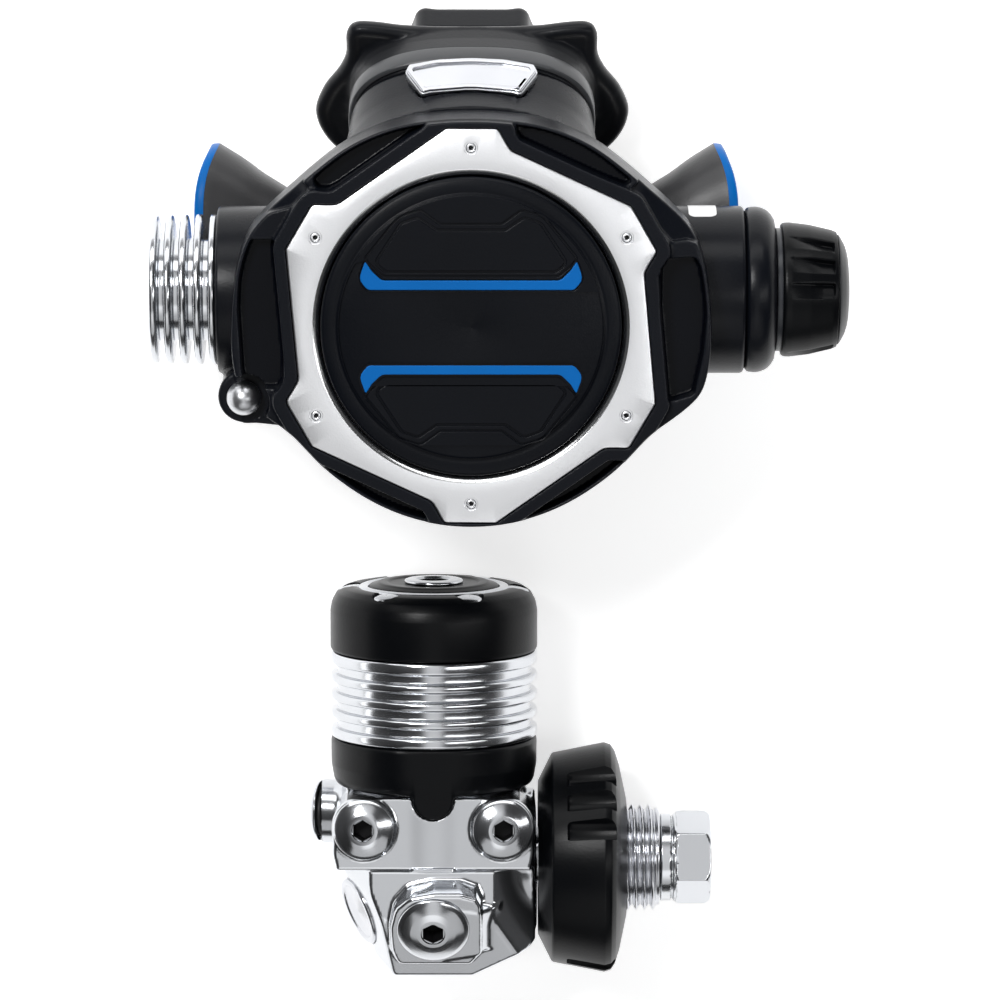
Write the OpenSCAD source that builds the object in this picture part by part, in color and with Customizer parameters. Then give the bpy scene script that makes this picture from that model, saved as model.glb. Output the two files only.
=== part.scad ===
// Scuba regulator set laid flat on a surface: a second stage resting on its mouthpiece and
// exhaust tee with its cover up, and a first stage lying on its side below it.
// Millimetres. +Z is up, +Y runs from the first stage towards the mouthpiece, z = 0 is the surface.

/* [Second stage] */
// Radius of the round opening that the purge button fills
purge_open_r = 31.2; // [31:0.1:31.6]
// Height of the face ring's top above the surface
face_z = 70.3; // [70:0.1:70.6]
// Inward travel of the purge button
purge_travel = 3.5; // [2:0.5:3.5]
// Outer radius of the two side ports
port_r = 17.5; // [17:0.1:17.8]
// Radius of the cooling rings on the inlet side
fin_r = 15.7; // [14.5:0.1:16.5]
// Number of cooling rings
fin_count = 5; // [5]
// Outer radius of the adjusting knob at its wide end
knob_r = 14.1; // [13.5:0.1:14.6]
// Major radius of the 9/16 inch male thread that takes the hose
inlet_thread_r = 7.14; // [7.14]
// Wall thickness of the moulded exhaust tee
tee_wall = 2.2; // [1.8:0.1:2.6]

/* [First stage] */
// Radius of the ribbed spring housing and its rubber cap
barrel_r = 22.3; // [22:0.1:22.6]
// Radius of the handwheel
wheel_r = 24.9; // [24.9]
// Major radius of the G 5/8 male thread
din_r = 11.45; // [11.45]
// Minor radius of the 3/8 inch low-pressure ports
lp_r = 4.25; // [4.25]
// Minor radius of the 7/16 inch high-pressure ports
hp_r = 4.95; // [4.95]

/* [Layout] */
// Centre of the second stage's cover, left to right
ss_x = -5.93; // [-8:0.01:-4]
// Centre of the second stage's cover, towards the mouthpiece
ss_y = 42.925; // [42:0.005:46]
// Axis of the first stage, left to right
fs_x = -14.24; // [-16:0.01:-12]
// Height of the inlet axis along the layout
fs_y = -79.045; // [-81:0.005:-77]

/* [Hidden] */
py = 4.2;                 // second stage port axis, y
pz = 43;                  // second stage port axis, height
mouth = [0, 27.4, 33.4];  // root of the mouth axis
mouth_tilt = 35;          // lean of the mouth axis
neck_v = -6;              // the tube lies this far above the axis
bite_end = 37.98;         // the bite pads end here, on the surface
vent_y = -7;              // centre of the exhaust valve, y
lean = asin((wheel_r - barrel_r) / 54.8); // the cap's edge and the wheel's rim both touch the surface
hp_z = -2.65;
// low-pressure ports: two facing forward, one to the left, one towards the surface
lp_x = [-13, 13.1, 0, 0];
lp_h = [9.7, 9.7, 9.3, 9.3];
lp_angles = [-5, 5, -102, -170];
lp_reach = [20.5, 20.5, 25, 23.4];
lp_boss = [6.64, 6.64, 7.02, 6.95];
hp_tilt = 24;             // the high-pressure ports lean this far down
hp_reach = 22.6;

// ---------- helpers ----------
module in_ss() { translate([ss_x, ss_y, 0]) children(); }
module in_fs() { translate([fs_x, fs_y, wheel_r]) rotate([-90 - lean, 0, 0]) children(); }
module along_x(x, y, z) { translate([x, y, z]) rotate([0, 90, 0]) children(); }
module in_mouth() { translate(mouth) rotate([180 + mouth_tilt, 0, 0]) children(); }
module radial(a, z) { translate([0, 0, z]) rotate([0, 0, a]) rotate([90, 0, 0]) children(); }
module lp_frame(n) { translate([lp_x[n], 0, lp_h[n]]) rotate([0, 0, lp_angles[n]]) rotate([90, 0, 0]) children(); }
module hp_frame(s) { translate([0, 0, hp_z]) rotate([0, 0, s]) rotate([90 + hp_tilt, 0, 0]) children(); }
module ring(ro, ri, h) { difference() { cylinder(r = ro, h = h, $fn = 96); translate([0, 0, -1]) cylinder(r = ri, h = h + 2, $fn = 96); } }
module stadium(w, h) {
  union() {
    for (s = [-1, 1]) translate([s * (w - h) / 2, 0]) circle(d = h, $fn = 64);
    square([w - h, h], center = true);
  }
}
function se(a, n) = let (c = cos(a), s = sin(a)) pow(pow(abs(c), n) + pow(abs(s), n), -1 / n);
// superellipse ring of n points with half axes a, b and exponent e
function oval(n, a, b, e) = [for (i = [0 : n - 1]) let (t = 360 * i / n, k = se(t, e)) [a * k * cos(t), b * k * sin(t)]];
module loft(rings) {
  n = len(rings[0]);
  m = len(rings);
  pts = [for (r = rings) for (p = r) p];
  faces = concat(
    [[for (i = [0 : n - 1]) i]],
    [for (k = [0 : m - 2]) for (i = [0 : n - 1]) [k * n + i, (k + 1) * n + i, (k + 1) * n + (i + 1) % n]],
    [for (k = [0 : m - 2]) for (i = [0 : n - 1]) [k * n + i, (k + 1) * n + (i + 1) % n, k * n + (i + 1) % n]],
    [[for (i = [n - 1 : -1 : 0]) (m - 1) * n + i]]
  );
  polyhedron(points = pts, faces = faces, convexity = 6);
}
// round wire wound about Z
module coil(big, wire, height, turns, steps = 18, sides = 8) {
  total = floor(turns * steps);
  loft([for (k = [0 : total]) let (t = 360 * k / steps, z = wire + (height - 2 * wire) * k / total)
    [for (i = [0 : sides - 1]) let (f = 360 * i / sides, r = big + wire * cos(f)) [r * cos(t), r * sin(t), z + wire * sin(f)]]]);
}

// ---------- second stage outlines ----------
outline_table = [[-90, 42.5], [-60, 42.6], [-52, 42.7], [-45, 43], [-38, 43.2], [-31.5, 43.8], [-26, 46.1], [-20, 48.8], [-17, 50.2], [-8, 50.2], [0, 49.7], [8, 49.7],
  [14, 49.9], [21, 49.9], [26, 49], [31, 47.6], [38, 46.2], [46, 45.4], [57, 45], [70, 44.2], [80, 43.3], [90, 43]];
function out_r(a) = lookup(a > 90 ? 180 - a : a, outline_table);
function outline(k) = [for (i = [0 : 119]) let (a = -90 + 3 * i) [out_r(a) * k * cos(a), out_r(a) * k * sin(a)]];
// face ring outline: six tabs, each with a notch on its clockwise side
function tab_points(t) = [[40.85, t + 7.3], [41, t], [40.85, t - 7.3], [39.4, t - 9.2], [38, t - 10.8], [37.3, t - 13.2]];
function face_outline(k) = [for (n = [0 : 5]) for (p = tab_points(90 - 60 * n)) [k * p[0] * cos(p[1]), k * p[0] * sin(p[1])]];

module second_stage_case() {
  color([0.07, 0.07, 0.08]) in_ss() difference() {
    union() {
      rotate_extrude($fn = 96) polygon([[0, 26], [29, 26], [33, 28.5], [37, 36], [39, 42], [41.3, 47.5], [41.3, 54], [0, 54]]);
      difference() {
        along_x(-53, py, pz) cylinder(r = port_r, h = 109.6, $fn = 96);
        translate([0, 0, 54]) cylinder(r = 41.3, h = 12, $fn = 96);
      }
      hull() {
        in_mouth() translate([0, neck_v, 5]) linear_extrude(3) stadium(51, 34);
        in_mouth() translate([0, neck_v + 2, -4]) linear_extrude(2) stadium(53, 36);
        translate([0, 23, 49]) linear_extrude(4.5) stadium(56, 32);
      }
      in_mouth() translate([0, neck_v, 2]) linear_extrude(13) stadium(44, 28);
      translate([-47.1, -16.2, 42]) cylinder(r = 5.4, h = 12, $fn = 48);
      translate([-46, -18, 43]) cube([12, 8, 10.9]);
    }
    rotate_extrude($fn = 96) polygon([[0, 28.5], [27, 28.5], [30.5, 31], [34, 38], [35, 43], [35, 60], [0, 60]]);
    translate([0, 0, 52.95]) cylinder(r = 38, h = 3, $fn = 96);
    along_x(-54, py, pz) cylinder(r = 13.05, h = 8.6, $fn = 64);
    along_x(-50, py, pz) cylinder(r = 6.25, h = 100, $fn = 64);
    along_x(43.5, py, pz) cylinder(r = 9.06, h = 15, $fn = 64);
    in_mouth() translate([0, neck_v, -5]) linear_extrude(22) stadium(38.4, 22.4);
    for (a = [0 : 60 : 300]) translate([0, vent_y, 0]) rotate([0, 0, a + 30]) translate([8.2, 0, 24]) cylinder(r = 3.4, h = 8, $fn = 32);
    translate([0, vent_y, 24]) cylinder(r = 1.6, h = 8, $fn = 32);
    translate([0, vent_y, 18]) cylinder(r = 17, h = 7.99, $fn = 64);
    translate([-47.1, -16.2, 43.9]) cylinder(r = 2.06, h = 12, $fn = 32);
    badge_solid();
    mark_solid();
  }
}
module mark_solid() {
  intersection() {
    along_x(40, py, pz) ring(port_r + 0.06, port_r - 0.5, 14);
    translate([45.2, py + 15.2, pz - 6]) cube([5.85, 5, 12.84]);
  }
}
module badge_solid() {
  translate([0, 48.8, 44.38]) rotate([-51.5, 0, 0]) translate([0, 0, -1.6]) linear_extrude(2.8)
    polygon([[-10.2, -5.6], [-13.8, 1], [-13.2, 3], [-7, 4.6], [0, 5.1], [7, 4.6], [13.2, 3], [13.8, 1], [10.2, -5.6], [8.6, -5], [0, -4], [-8.6, -5]]);
}
module pocket2d(t) {
  // recess outside each straight edge of the face ring
  rotate(t) polygon([[39.4, 14.5], [41.6, 16.5], [42.6, 10], [43, 0], [42.6, -10], [41.4, -19], [39.6, -17], [39.2, 0]]);
}
module front_bumper() {
  color([0.05, 0.05, 0.06]) in_ss() difference() {
    union() {
      translate([0, 0, 54.02]) linear_extrude(9.98) polygon(outline(1));
      translate([0, 0, 64]) linear_extrude(3) polygon(outline(0.98));
      translate([0, 0, 67]) linear_extrude(4) intersection() { polygon(face_outline(1.06)); polygon(outline(0.97)); }
      translate([-47.1, -16.2, 54.02]) cylinder(r = 5.6, h = 4.5, $fn = 48);
      translate([0, 0, 54.04]) linear_extrude(4.4) polygon([[-47.1, -21.6], [-37, -22.8], [-36, -12], [-44, -11]]);
    }
    translate([0, 0, 53]) cylinder(r = 38.15, h = 5.6, $fn = 96);
    translate([0, 0, 58]) cylinder(r = 34, h = 6.6, $fn = 96);
    translate([0, 0, 60]) cylinder(r = purge_open_r + 0.2, h = 12, $fn = 96);
    translate([0, 0, 66.98]) linear_extrude(6) polygon(face_outline(1.003));
    difference() {
      along_x(-60, py, pz) cylinder(r = port_r + 0.1, h = 120, $fn = 96);
      translate([0, 0, 50]) cylinder(r = 41.25, h = 12, $fn = 96);
    }
    for (t = [64, 116, 244, 296]) translate([0, 0, 63.2]) linear_extrude(6) pocket2d(t);
    translate([0, 0, 64.6]) linear_extrude(8) polygon([[33, 27.6], [36.5, 31], [50, 25], [53, 17.4], [47, 16.8], [41.6, 17.4], [38.6, 21]]);
    translate([0, 0, 64.6]) linear_extrude(8) polygon([[-33.4, 28], [-36.5, 31], [-50, 26], [-53, 17.4], [-47.6, 16.6], [-46, 19.6], [-43.5, 21.9], [-41.9, 23.2], [-36.9, 24.6]]);
    for (s = [-1, 1]) translate([s * 44.6, 2.5, 63.2]) linear_extrude(8) polygon([[-s * 2.2, 14], [s * 1.5, 12.6], [s * 3, 6], [s * 3, -6], [s * 1.2, -15], [-s * 2.4, -16.5]]);
    translate([-47.1, -16.2, 50]) cylinder(r = 2.3, h = 14, $fn = 32);
    translate([-47.1, -16.2, 58.52]) cylinder(r = 5.61, h = 10, $fn = 48);
  }
}
module rivet_at(a) { rotate([0, 0, a]) translate([36.9, 0, 0]) children(); }
module face_ring() {
  color([0.78, 0.79, 0.81]) in_ss() difference() {
    translate([0, 0, 67]) linear_extrude(face_z - 67) polygon(face_outline(1));
    translate([0, 0, 66]) cylinder(r = purge_open_r, h = 6, $fn = 128);
    translate([0, 0, face_z - 0.7]) cylinder(r1 = purge_open_r, r2 = purge_open_r + 0.9, h = 0.8, $fn = 128);
    for (n = [0 : 5]) rivet_at(30 + 60 * n) translate([0, 0, 66]) cylinder(r = 1.05, h = 6, $fn = 32);
  }
}
module face_ring_rivets() {
  color([0.6, 0.61, 0.63]) in_ss() for (n = [0 : 5]) rivet_at(30 + 60 * n) difference() {
    translate([0, 0, 67]) cylinder(r = 1, h = face_z - 67.15, $fn = 32);
    translate([0, 0, face_z - 1]) cylinder(r = 0.45, h = 2, $fn = 6);
  }
}

// ---------- purge button ----------
module stripe2d() {
  polygon([[-23, 7.7], [-22.4, 7.6], [22.4, 7.6], [23, 7.7], [23.2, 9.6], [22.2, 12.4], [21.4, 13.8], [20.4, 11], [19.4, 9.9], [18, 9.6],
    [-18, 9.6], [-19.4, 9.9], [-20.4, 11], [-21.4, 13.8], [-22.2, 12.4], [-23.2, 9.6]]);
}
module panel2d(k) {
  offset(delta = k) polygon([[-19.6, 13], [-15.2, 21.2], [-11.2, 23.2], [-8, 20], [-6.4, 19.4], [6.4, 19.4], [8, 20], [11.2, 23.2], [15.2, 21.2],
    [19.6, 13], [17.8, 11], [-17.8, 11]]);
}
module purge_button() {
  color([0.05, 0.05, 0.06]) in_ss() difference() {
    union() {
      translate([0, 0, 63]) cylinder(r = 33, h = 1.4, $fn = 96);
      translate([0, 0, 63.5]) cylinder(r = purge_open_r - 0.3, h = 7.3, $fn = 128);
      translate([0, 0, 70.5]) cylinder(r = 29.8, h = 0.9, $fn = 128);
    }
    difference() {
      translate([0, 0, 60]) cylinder(r = 28, h = 8.8, $fn = 96);
      translate([0, 0, 55]) cylinder(r = 5, h = 16, $fn = 48);
    }
    for (m = [0, 1]) mirror([0, m, 0]) translate([0, 0, 70.6]) linear_extrude(2) stripe2d();
    for (m = [0, 1]) mirror([0, m, 0]) translate([0, 0, 71.05]) linear_extrude(2)
      difference() { polygon([[-20.2, 12.6], [-15.6, 21.9], [-11.2, 24], [-7.6, 20.5], [7.6, 20.5], [11.2, 24], [15.6, 21.9], [20.2, 12.6], [18, 10.6], [-18, 10.6]]);
        polygon([[-19.3, 13], [-15.1, 21.1], [-11.2, 22.9], [-7.9, 19.7], [7.9, 19.7], [11.2, 22.9], [15.1, 21.1], [19.3, 13], [17.6, 11.3], [-17.6, 11.3]]); }
  }
}
module purge_stripes() {
  color([0.02, 0.28, 0.7]) in_ss() for (m = [0, 1]) mirror([0, m, 0]) translate([0, 0, 70.6]) linear_extrude(0.9) stripe2d();
}
module purge_spring() { color([0.7, 0.7, 0.72]) in_ss() translate([0, 0, 58.45]) coil(9, 0.6, 10.3, 4.5); }
module diaphragm_cover() {
  color([0.1, 0.1, 0.11]) in_ss() difference() {
    union() {
      translate([0, 0, 54.08]) ring(37.8, 35, 4.3);
      translate([0, 0, 57]) ring(36, 7, 1.38);
    }
    for (n = [0 : 7]) rotate([0, 0, 45 * n + 22.5]) for (r = [15, 21.5, 28.5]) translate([r, 0, 56]) cylinder(r = r / 9 + 1.3, h = 4, $fn = 32);
  }
}
module diaphragm_membrane() {
  color([0.85, 0.86, 0.86]) in_ss() rotate_extrude($fn = 96)
    polygon([[17.6, 53.05], [24, 53.05], [27, 51.8], [30, 51.8], [33, 53.05], [37.7, 53.05], [37.7, 54], [32.6, 54], [29.8, 52.7], [27.2, 52.7], [24.2, 53.95], [17.6, 53.95]]);
}
module diaphragm_plate() {
  color([0.75, 0.75, 0.77]) in_ss() union() {
    translate([0, 0, 52.65]) cylinder(r = 17.5, h = 1.4, $fn = 64);
    translate([0, 0, 54]) cylinder(r = 4.6, h = 8.9, $fn = 48);
  }
}

// ---------- demand valve ----------
module demand_lever() {
  color([0.72, 0.73, 0.75]) in_ss() translate([0, py, 0]) union() {
    translate([22, 5.9, 47.4]) rotate([90, 0, 0]) cylinder(r = 0.8, h = 11.8, $fn = 32);
    translate([0, -2.6, 51.6]) rotate([-90, 0, 0]) cylinder(r = 1, h = 5.2, $fn = 32);
    rotate([90, 0, 0]) translate([0, 0, -2.4]) linear_extrude(4.8) polygon([[-0.6, 51], [3.6, 47.6], [6, 47.1], [22, 46.9], [22.6, 47.6], [22, 48.3], [6.4, 48.2], [4.6, 48.7], [0.6, 52]]);
    for (s = [-1, 1]) translate([21.4, s * 3.1 - 0.5, 42.2]) cube([1.2, 1, 5.6]);
    translate([21.4, -3.6, 46.9]) cube([1.2, 7.2, 1.2]);
  }
}
module valve_barrel() {
  color([0.74, 0.75, 0.77]) in_ss() difference() {
    union() {
      along_x(-45.4, py, pz) cylinder(r = 6.2, h = 87.3, $fn = 64);
      for (s = [-1, 1]) translate([19.6, py + s * 5.05 - 0.75, pz + 2.5]) cube([4.8, 1.5, 4]);
    }
    along_x(-46, py, pz) cylinder(r = 4.6, h = 92, $fn = 48);
    translate([-3, py - 4.1, pz + 1.2]) cube([29, 8.2, 12]);
    translate([-19, py - 4.1, 48.98]) cube([17, 8.2, 3]);
    translate([22, py + 8, 47.4]) rotate([90, 0, 0]) cylinder(r = 0.86, h = 16, $fn = 32);
    translate([8, py + 9, pz]) rotate([90, 0, 0]) cylinder(r = 2.6, h = 18, $fn = 32);
  }
}
module inlet_orifice() {
  color([0.8, 0.66, 0.35]) in_ss() along_x(-45.4, py, pz) difference() {
    union() { cylinder(r = 4.55, h = 22, $fn = 48); translate([0, 0, 22]) cylinder(r1 = 4, r2 = 2.6, h = 3.6, $fn = 48); }
    translate([0, 0, -1]) cylinder(r = 1.9, h = 30, $fn = 32);
  }
}
module poppet_seat() { color([0.2, 0.2, 0.2]) in_ss() along_x(-19.7, py, pz) cylinder(r = 3.6, h = 1.2, $fn = 32); }
module demand_poppet() {
  color([0.9, 0.9, 0.88]) in_ss() union() {
    along_x(-18.5, py, pz) cylinder(r = 4.4, h = 6.5, $fn = 48);
    along_x(-13, py, pz) cylinder(r = 1.2, h = 37.5, $fn = 32);
    along_x(23.2, py, pz) cylinder(r = 4.4, h = 1.9, $fn = 48);
  }
}
module poppet_spring() { color([0.75, 0.75, 0.77]) in_ss() along_x(25.15, py, pz) coil(3.4, 0.45, 11.6, 6, 14, 6); }
module spring_adjuster() {
  color([0.8, 0.66, 0.35]) in_ss() along_x(37, py, pz) difference() {
    cylinder(r = 4.52, h = 4.8, $fn = 48);
    translate([-5, -0.5, 3.4]) cube([10, 1, 3]);
    translate([0, 0, 1.2]) ring(6, 3.6, 1.2);
  }
}
module adjuster_o_ring() { color([0.02, 0.02, 0.02]) in_ss() along_x(38.8, py, pz) torus(4.1, 0.45); }
module venturi_vane() {
  color([0.12, 0.12, 0.13]) in_ss() union() {
    along_x(26.4, py, pz) ring(7.6, 6.26, 2.9);
    translate([12, py + 6.5, pz - 0.6]) cube([17.2, 4, 1.2]);
  }
}
module heat_exchanger() {
  color([0.82, 0.83, 0.85]) in_ss() along_x(-67.1, py, pz) difference() {
    union() {
      cylinder(r = 10.6, h = 14.05, $fn = 96);
      for (n = [0 : fin_count - 1]) translate([0, 0, 0.2 + n * 3.05]) rotate_extrude($fn = 96)
        polygon([[9.9, 0], [fin_r - 1 + n * 0.05, 0], [fin_r - 0.35 + n * 0.05, 0.3], [fin_r + n * 0.05, 0.8], [fin_r - 0.35 + n * 0.05, 1.3], [fin_r - 1 + n * 0.05, 1.6], [9.9, 1.6]]);
      translate([0, 0, 13]) cylinder(r = 13, h = 8.6, $fn = 96);
    }
    translate([0, 0, -1]) cylinder(r = 9.6, h = 6.2, $fn = 64);
    translate([0, 0, 4]) cylinder(r = 6, h = 20, $fn = 64);
    translate([0, 0, 16]) ring(14, 11.4, 1.7);
  }
}
module inlet_fitting() {
  color([0.8, 0.81, 0.83]) in_ss() along_x(-67.1, py, pz) difference() {
    union() { cylinder(r = inlet_thread_r, h = 5.2, $fn = 64); translate([0, 0, 5]) cylinder(r = 5.95, h = 16.4, $fn = 64); }
    translate([0, 0, -1]) cylinder(r = 2.7, h = 24, $fn = 32);
  }
}
module index_mark() { color([0.92, 0.92, 0.92]) in_ss() mark_solid(); }

// ---------- adjusting knob ----------
module knob_ring() {
  color([0.06, 0.06, 0.07]) in_ss() along_x(57, py, pz) rotate_extrude($fn = 96)
    polygon([[9.3, -0.38], [12.5, -0.38], [12.5, 0], [16.6, 0], [17.2, 0.7], [17.4, 1.8], [17.2, 3.4], [16.6, 4.9], [15.6, 5.9], [14.6, 6.3], [9.3, 6.3]]);
}
module adjusting_knob() {
  color([0.05, 0.05, 0.06]) in_ss() difference() {
    union() {
      along_x(43.6, py, pz) cylinder(r = 9, h = 20.4, $fn = 64);
      translate([40.9, py - 0.4, pz - 3.6]) cube([3, 0.8, 7.2]);
      along_x(63.45, py, pz) rotate_extrude($fn = 96)
        polygon([[0, 0], [12.9, 0], [12.9, 1.1], [knob_r, 1.3], [knob_r, 3], [knob_r - 0.5, 7], [knob_r - 1.2, 9.95], [knob_r - 1.6, 11.75], [12, 12.95], [0, 12.95]]);
    }
    for (g = [0 : 2]) for (k = [-1 : 1]) along_x(66, py, pz) rotate([0, 0, 150.5 + 120 * g + 23 * k]) translate([knob_r + 0.9, 0, 0]) rotate([0, -3, 0]) cylinder(r = 1.5, h = 10.5, $fn = 24);
    along_x(50, py, pz) ring(12, 7.9, 1.4);
  }
}
module knob_end_cap() {
  color([0.09, 0.09, 0.1]) in_ss() along_x(76.42, py, pz) rotate_extrude($fn = 96)
    polygon([[0, 0], [11.85, 0], [10.4, 1.2], [9, 1.75], [7.4, 2.25], [4, 2.54], [0, 2.54]]);
}

// ---------- mouthpiece ----------
function mring(s, a, b, e, v) = [for (p = oval(32, a, b, e)) [p[0], p[1] + v, s]];
flange = [[0, -20.3], [12, -20.8], [21, -22], [25.5, -21.6], [27.4, -18.5], [27.8, -13.5], [29.6, -9], [32.3, -4], [33.4, 1], [32.8, 6], [30, 11], [25, 15.2], [18, 18], [9, 18.8]];
module mouthpiece() {
  color([0.06, 0.06, 0.07]) in_ss() in_mouth() difference() {
    union() {
      loft([mring(8.6, 25, 17, 2.6, neck_v), mring(15, 24.7, 16.6, 2.6, neck_v), mring(18.5, 25.4, 16.4, 2.4, neck_v + 0.6), mring(21.6, 27, 17, 2.3, neck_v + 1.5)]);
      translate([0, 0, 21.4]) linear_extrude(3.2) polygon(concat(flange, [for (i = [len(flange) - 1 : -1 : 1]) [-flange[i][0], flange[i][1]]]));
      for (s = [-1, 1]) hull() {
        translate([s * 20, 0.4, 25]) cube([14, 6, 3], center = true);
        translate([s * 20, 0.9, bite_end - 1]) cube([12, 6, 2], center = true);
      }
      hull() for (s = [-1, 1]) translate([s * 8.6, -12.4, 34]) cube([5, 4, 8], center = true);
      for (s = [-1, 1]) hull() {
        translate([s * 15, -1.5, 34]) cube([3, 3, 8], center = true);
        translate([s * 10.2, -12.4, 34]) cube([2.5, 4, 8], center = true);
      }
    }
    translate([0, neck_v, 0]) linear_extrude(15.2) stadium(44.1, 28.1);
    translate([0, neck_v, 10]) linear_extrude(20) stadium(33, 17);
  }
}
module mouthpiece_clamp() {
  color([0.03, 0.03, 0.035]) in_ss() in_mouth() difference() {
    loft([mring(9, 26, 18, 2.6, neck_v), mring(13.2, 25.9, 17.9, 2.6, neck_v)]);
    loft([mring(8, 25.03, 17.03, 2.6, neck_v), mring(14, 25.03, 17.03, 2.6, neck_v)]);
  }
}

// ---------- exhaust tee ----------
tee_x = -1.2;
tee_table = [[0, -5, 12.7, 20, 12.7], [16, -4.6, 12.8, 19.4, 12.4], [24, -1, 13, 16.6, 11.4], [32, 4.4, 13.3, 13.8, 10.7], [40, 9.8, 13.4, 13.4, 10.9],
  [48, 14, 13.4, 14, 11.9], [55.8, 16.2, 13.2, 15.5, 12.9]];
function tee_ring(row, side, inset) = [for (p = oval(36, row[3] - inset, row[4] - inset, 2.5)) [tee_x + side * row[0], row[1] + p[0], row[2] + p[1]]];
function tee_rings(inset) = concat([for (k = [6 : -1 : 1]) tee_ring(tee_table[k], -1, inset)], [for (k = [0 : 6]) tee_ring(tee_table[k], 1, inset)]);
function stretch(r, dx) = [for (p = r) [p[0] + dx, p[1], p[2]]];
module exhaust_tee() {
  color([0.09, 0.09, 0.1]) in_ss() difference() {
    union() {
      loft(tee_rings(0));
      translate([0, vent_y, 18]) cylinder(r = 16.5, h = 7.98, $fn = 48);
    }
    loft(concat([stretch(tee_rings(tee_wall)[0], -3)], tee_rings(tee_wall), [stretch(tee_rings(tee_wall)[12], 3)]));
    translate([0, vent_y, 14]) cylinder(r = 14.5, h = 14, $fn = 48);
  }
}
module exhaust_tee_trims() {
  color([0.02, 0.3, 0.72]) in_ss() render(convexity = 8) for (s = [-1, 1]) difference() {
    loft([for (x = (s > 0 ? [0.02, 0.5, 2] : [-2, -0.5, -0.02])) stretch(tee_ring(tee_table[6], s, abs(x) > 1 ? 0.5 : 0), x)]);
    loft([for (x = (s > 0 ? [-1, 3] : [-3, 1])) stretch(tee_ring(tee_table[6], s, tee_wall), x)]);
  }
}
module exhaust_valve() {
  color([0.85, 0.85, 0.83]) in_ss() translate([0, vent_y, 0]) union() {
    translate([0, 0, 24.95]) cylinder(r = 13.6, h = 1, $fn = 64);
    translate([0, 0, 21]) cylinder(r = 1.5, h = 8.5, $fn = 24);
  }
}
module top_badge() { color([0.85, 0.86, 0.88]) in_ss() badge_solid(); }
module cover_lock_pin() {
  color([0.8, 0.81, 0.83]) in_ss() translate([-47.1, -16.2, 0]) union() {
    translate([0, 0, 44]) cylinder(r = 2, h = 16, $fn = 32);
    intersection() { translate([0, 0, 60.2]) sphere(r = 3.6, $fn = 48); translate([0, 0, 58.56]) cylinder(r = 5, h = 8, $fn = 48); }
  }
}
module torus(big, wire) { rotate_extrude($fn = 64) translate([big, 0]) circle(r = wire, $fn = 24); }
module second_stage_o_rings() {
  color([0.02, 0.02, 0.02]) in_ss() union() {
    along_x(-50.25, py, pz) torus(12.2, 0.75);
    along_x(50.7, py, pz) torus(8.45, 0.5);
  }
}

// ---------- first stage ----------
module block() {
  difference() {
    union() {
      intersection() {
        translate([0, 30, 0]) rotate([90, 0, 0]) linear_extrude(60)
          polygon([[-20.5, 1], [-14.6, -15.6], [-12.6, -20.6], [-8.8, -23.6], [8.3, -23.6], [20.4, -17.4], [22, -15.4], [22, 1]]);
        translate([0, 0, -26]) linear_extrude(30) polygon([[-22, 0], [-21, -6], [-13.6, -18.7], [13, -18.7], [22, -12.5], [22, 12.5], [13, 18.7], [-13.6, 18.7], [-21, 6]]);
        hp_frame(0) translate([-40, -40, -60]) cube([80, 80, 80.3]);
        hp_frame(180) translate([-40, -40, -60]) cube([80, 80, 80.3]);
      }
      for (s = [0, 180]) hp_frame(s) mirror([s / 180, 0]) {
        translate([0, 0, 11]) linear_extrude(hp_reach - 11)
          polygon([[-9, -6], [-9.2, 0], [-8.2, 4.6], [-5.2, 7.6], [0, 8.7], [6, 8.7], [9.2, 7.6], [10.2, 5.5], [10.2, -6.8], [8, -9.5], [-7.5, -9.5]]);
        hull() {
          translate([0, 0, 11.02]) linear_extrude(7.5) polygon([[2, 5.6], [14.1, 3.2], [14.1, -6], [2, -8.4]]);
          translate([0, 0, 11.04]) linear_extrude(hp_reach - 11.09) polygon([[2, 5.6], [10.1, 5.4], [10.1, -6.7], [2, -8.4]]);
        }
      }
    }
    for (s = [-1, 1]) rotate([0, 0, 22 * s]) translate([-17.4, 0, -10.6]) rotate([0, -109.5, 0]) translate([-30, -30, 0]) cube([60, 60, 30]);
  }
}
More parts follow.
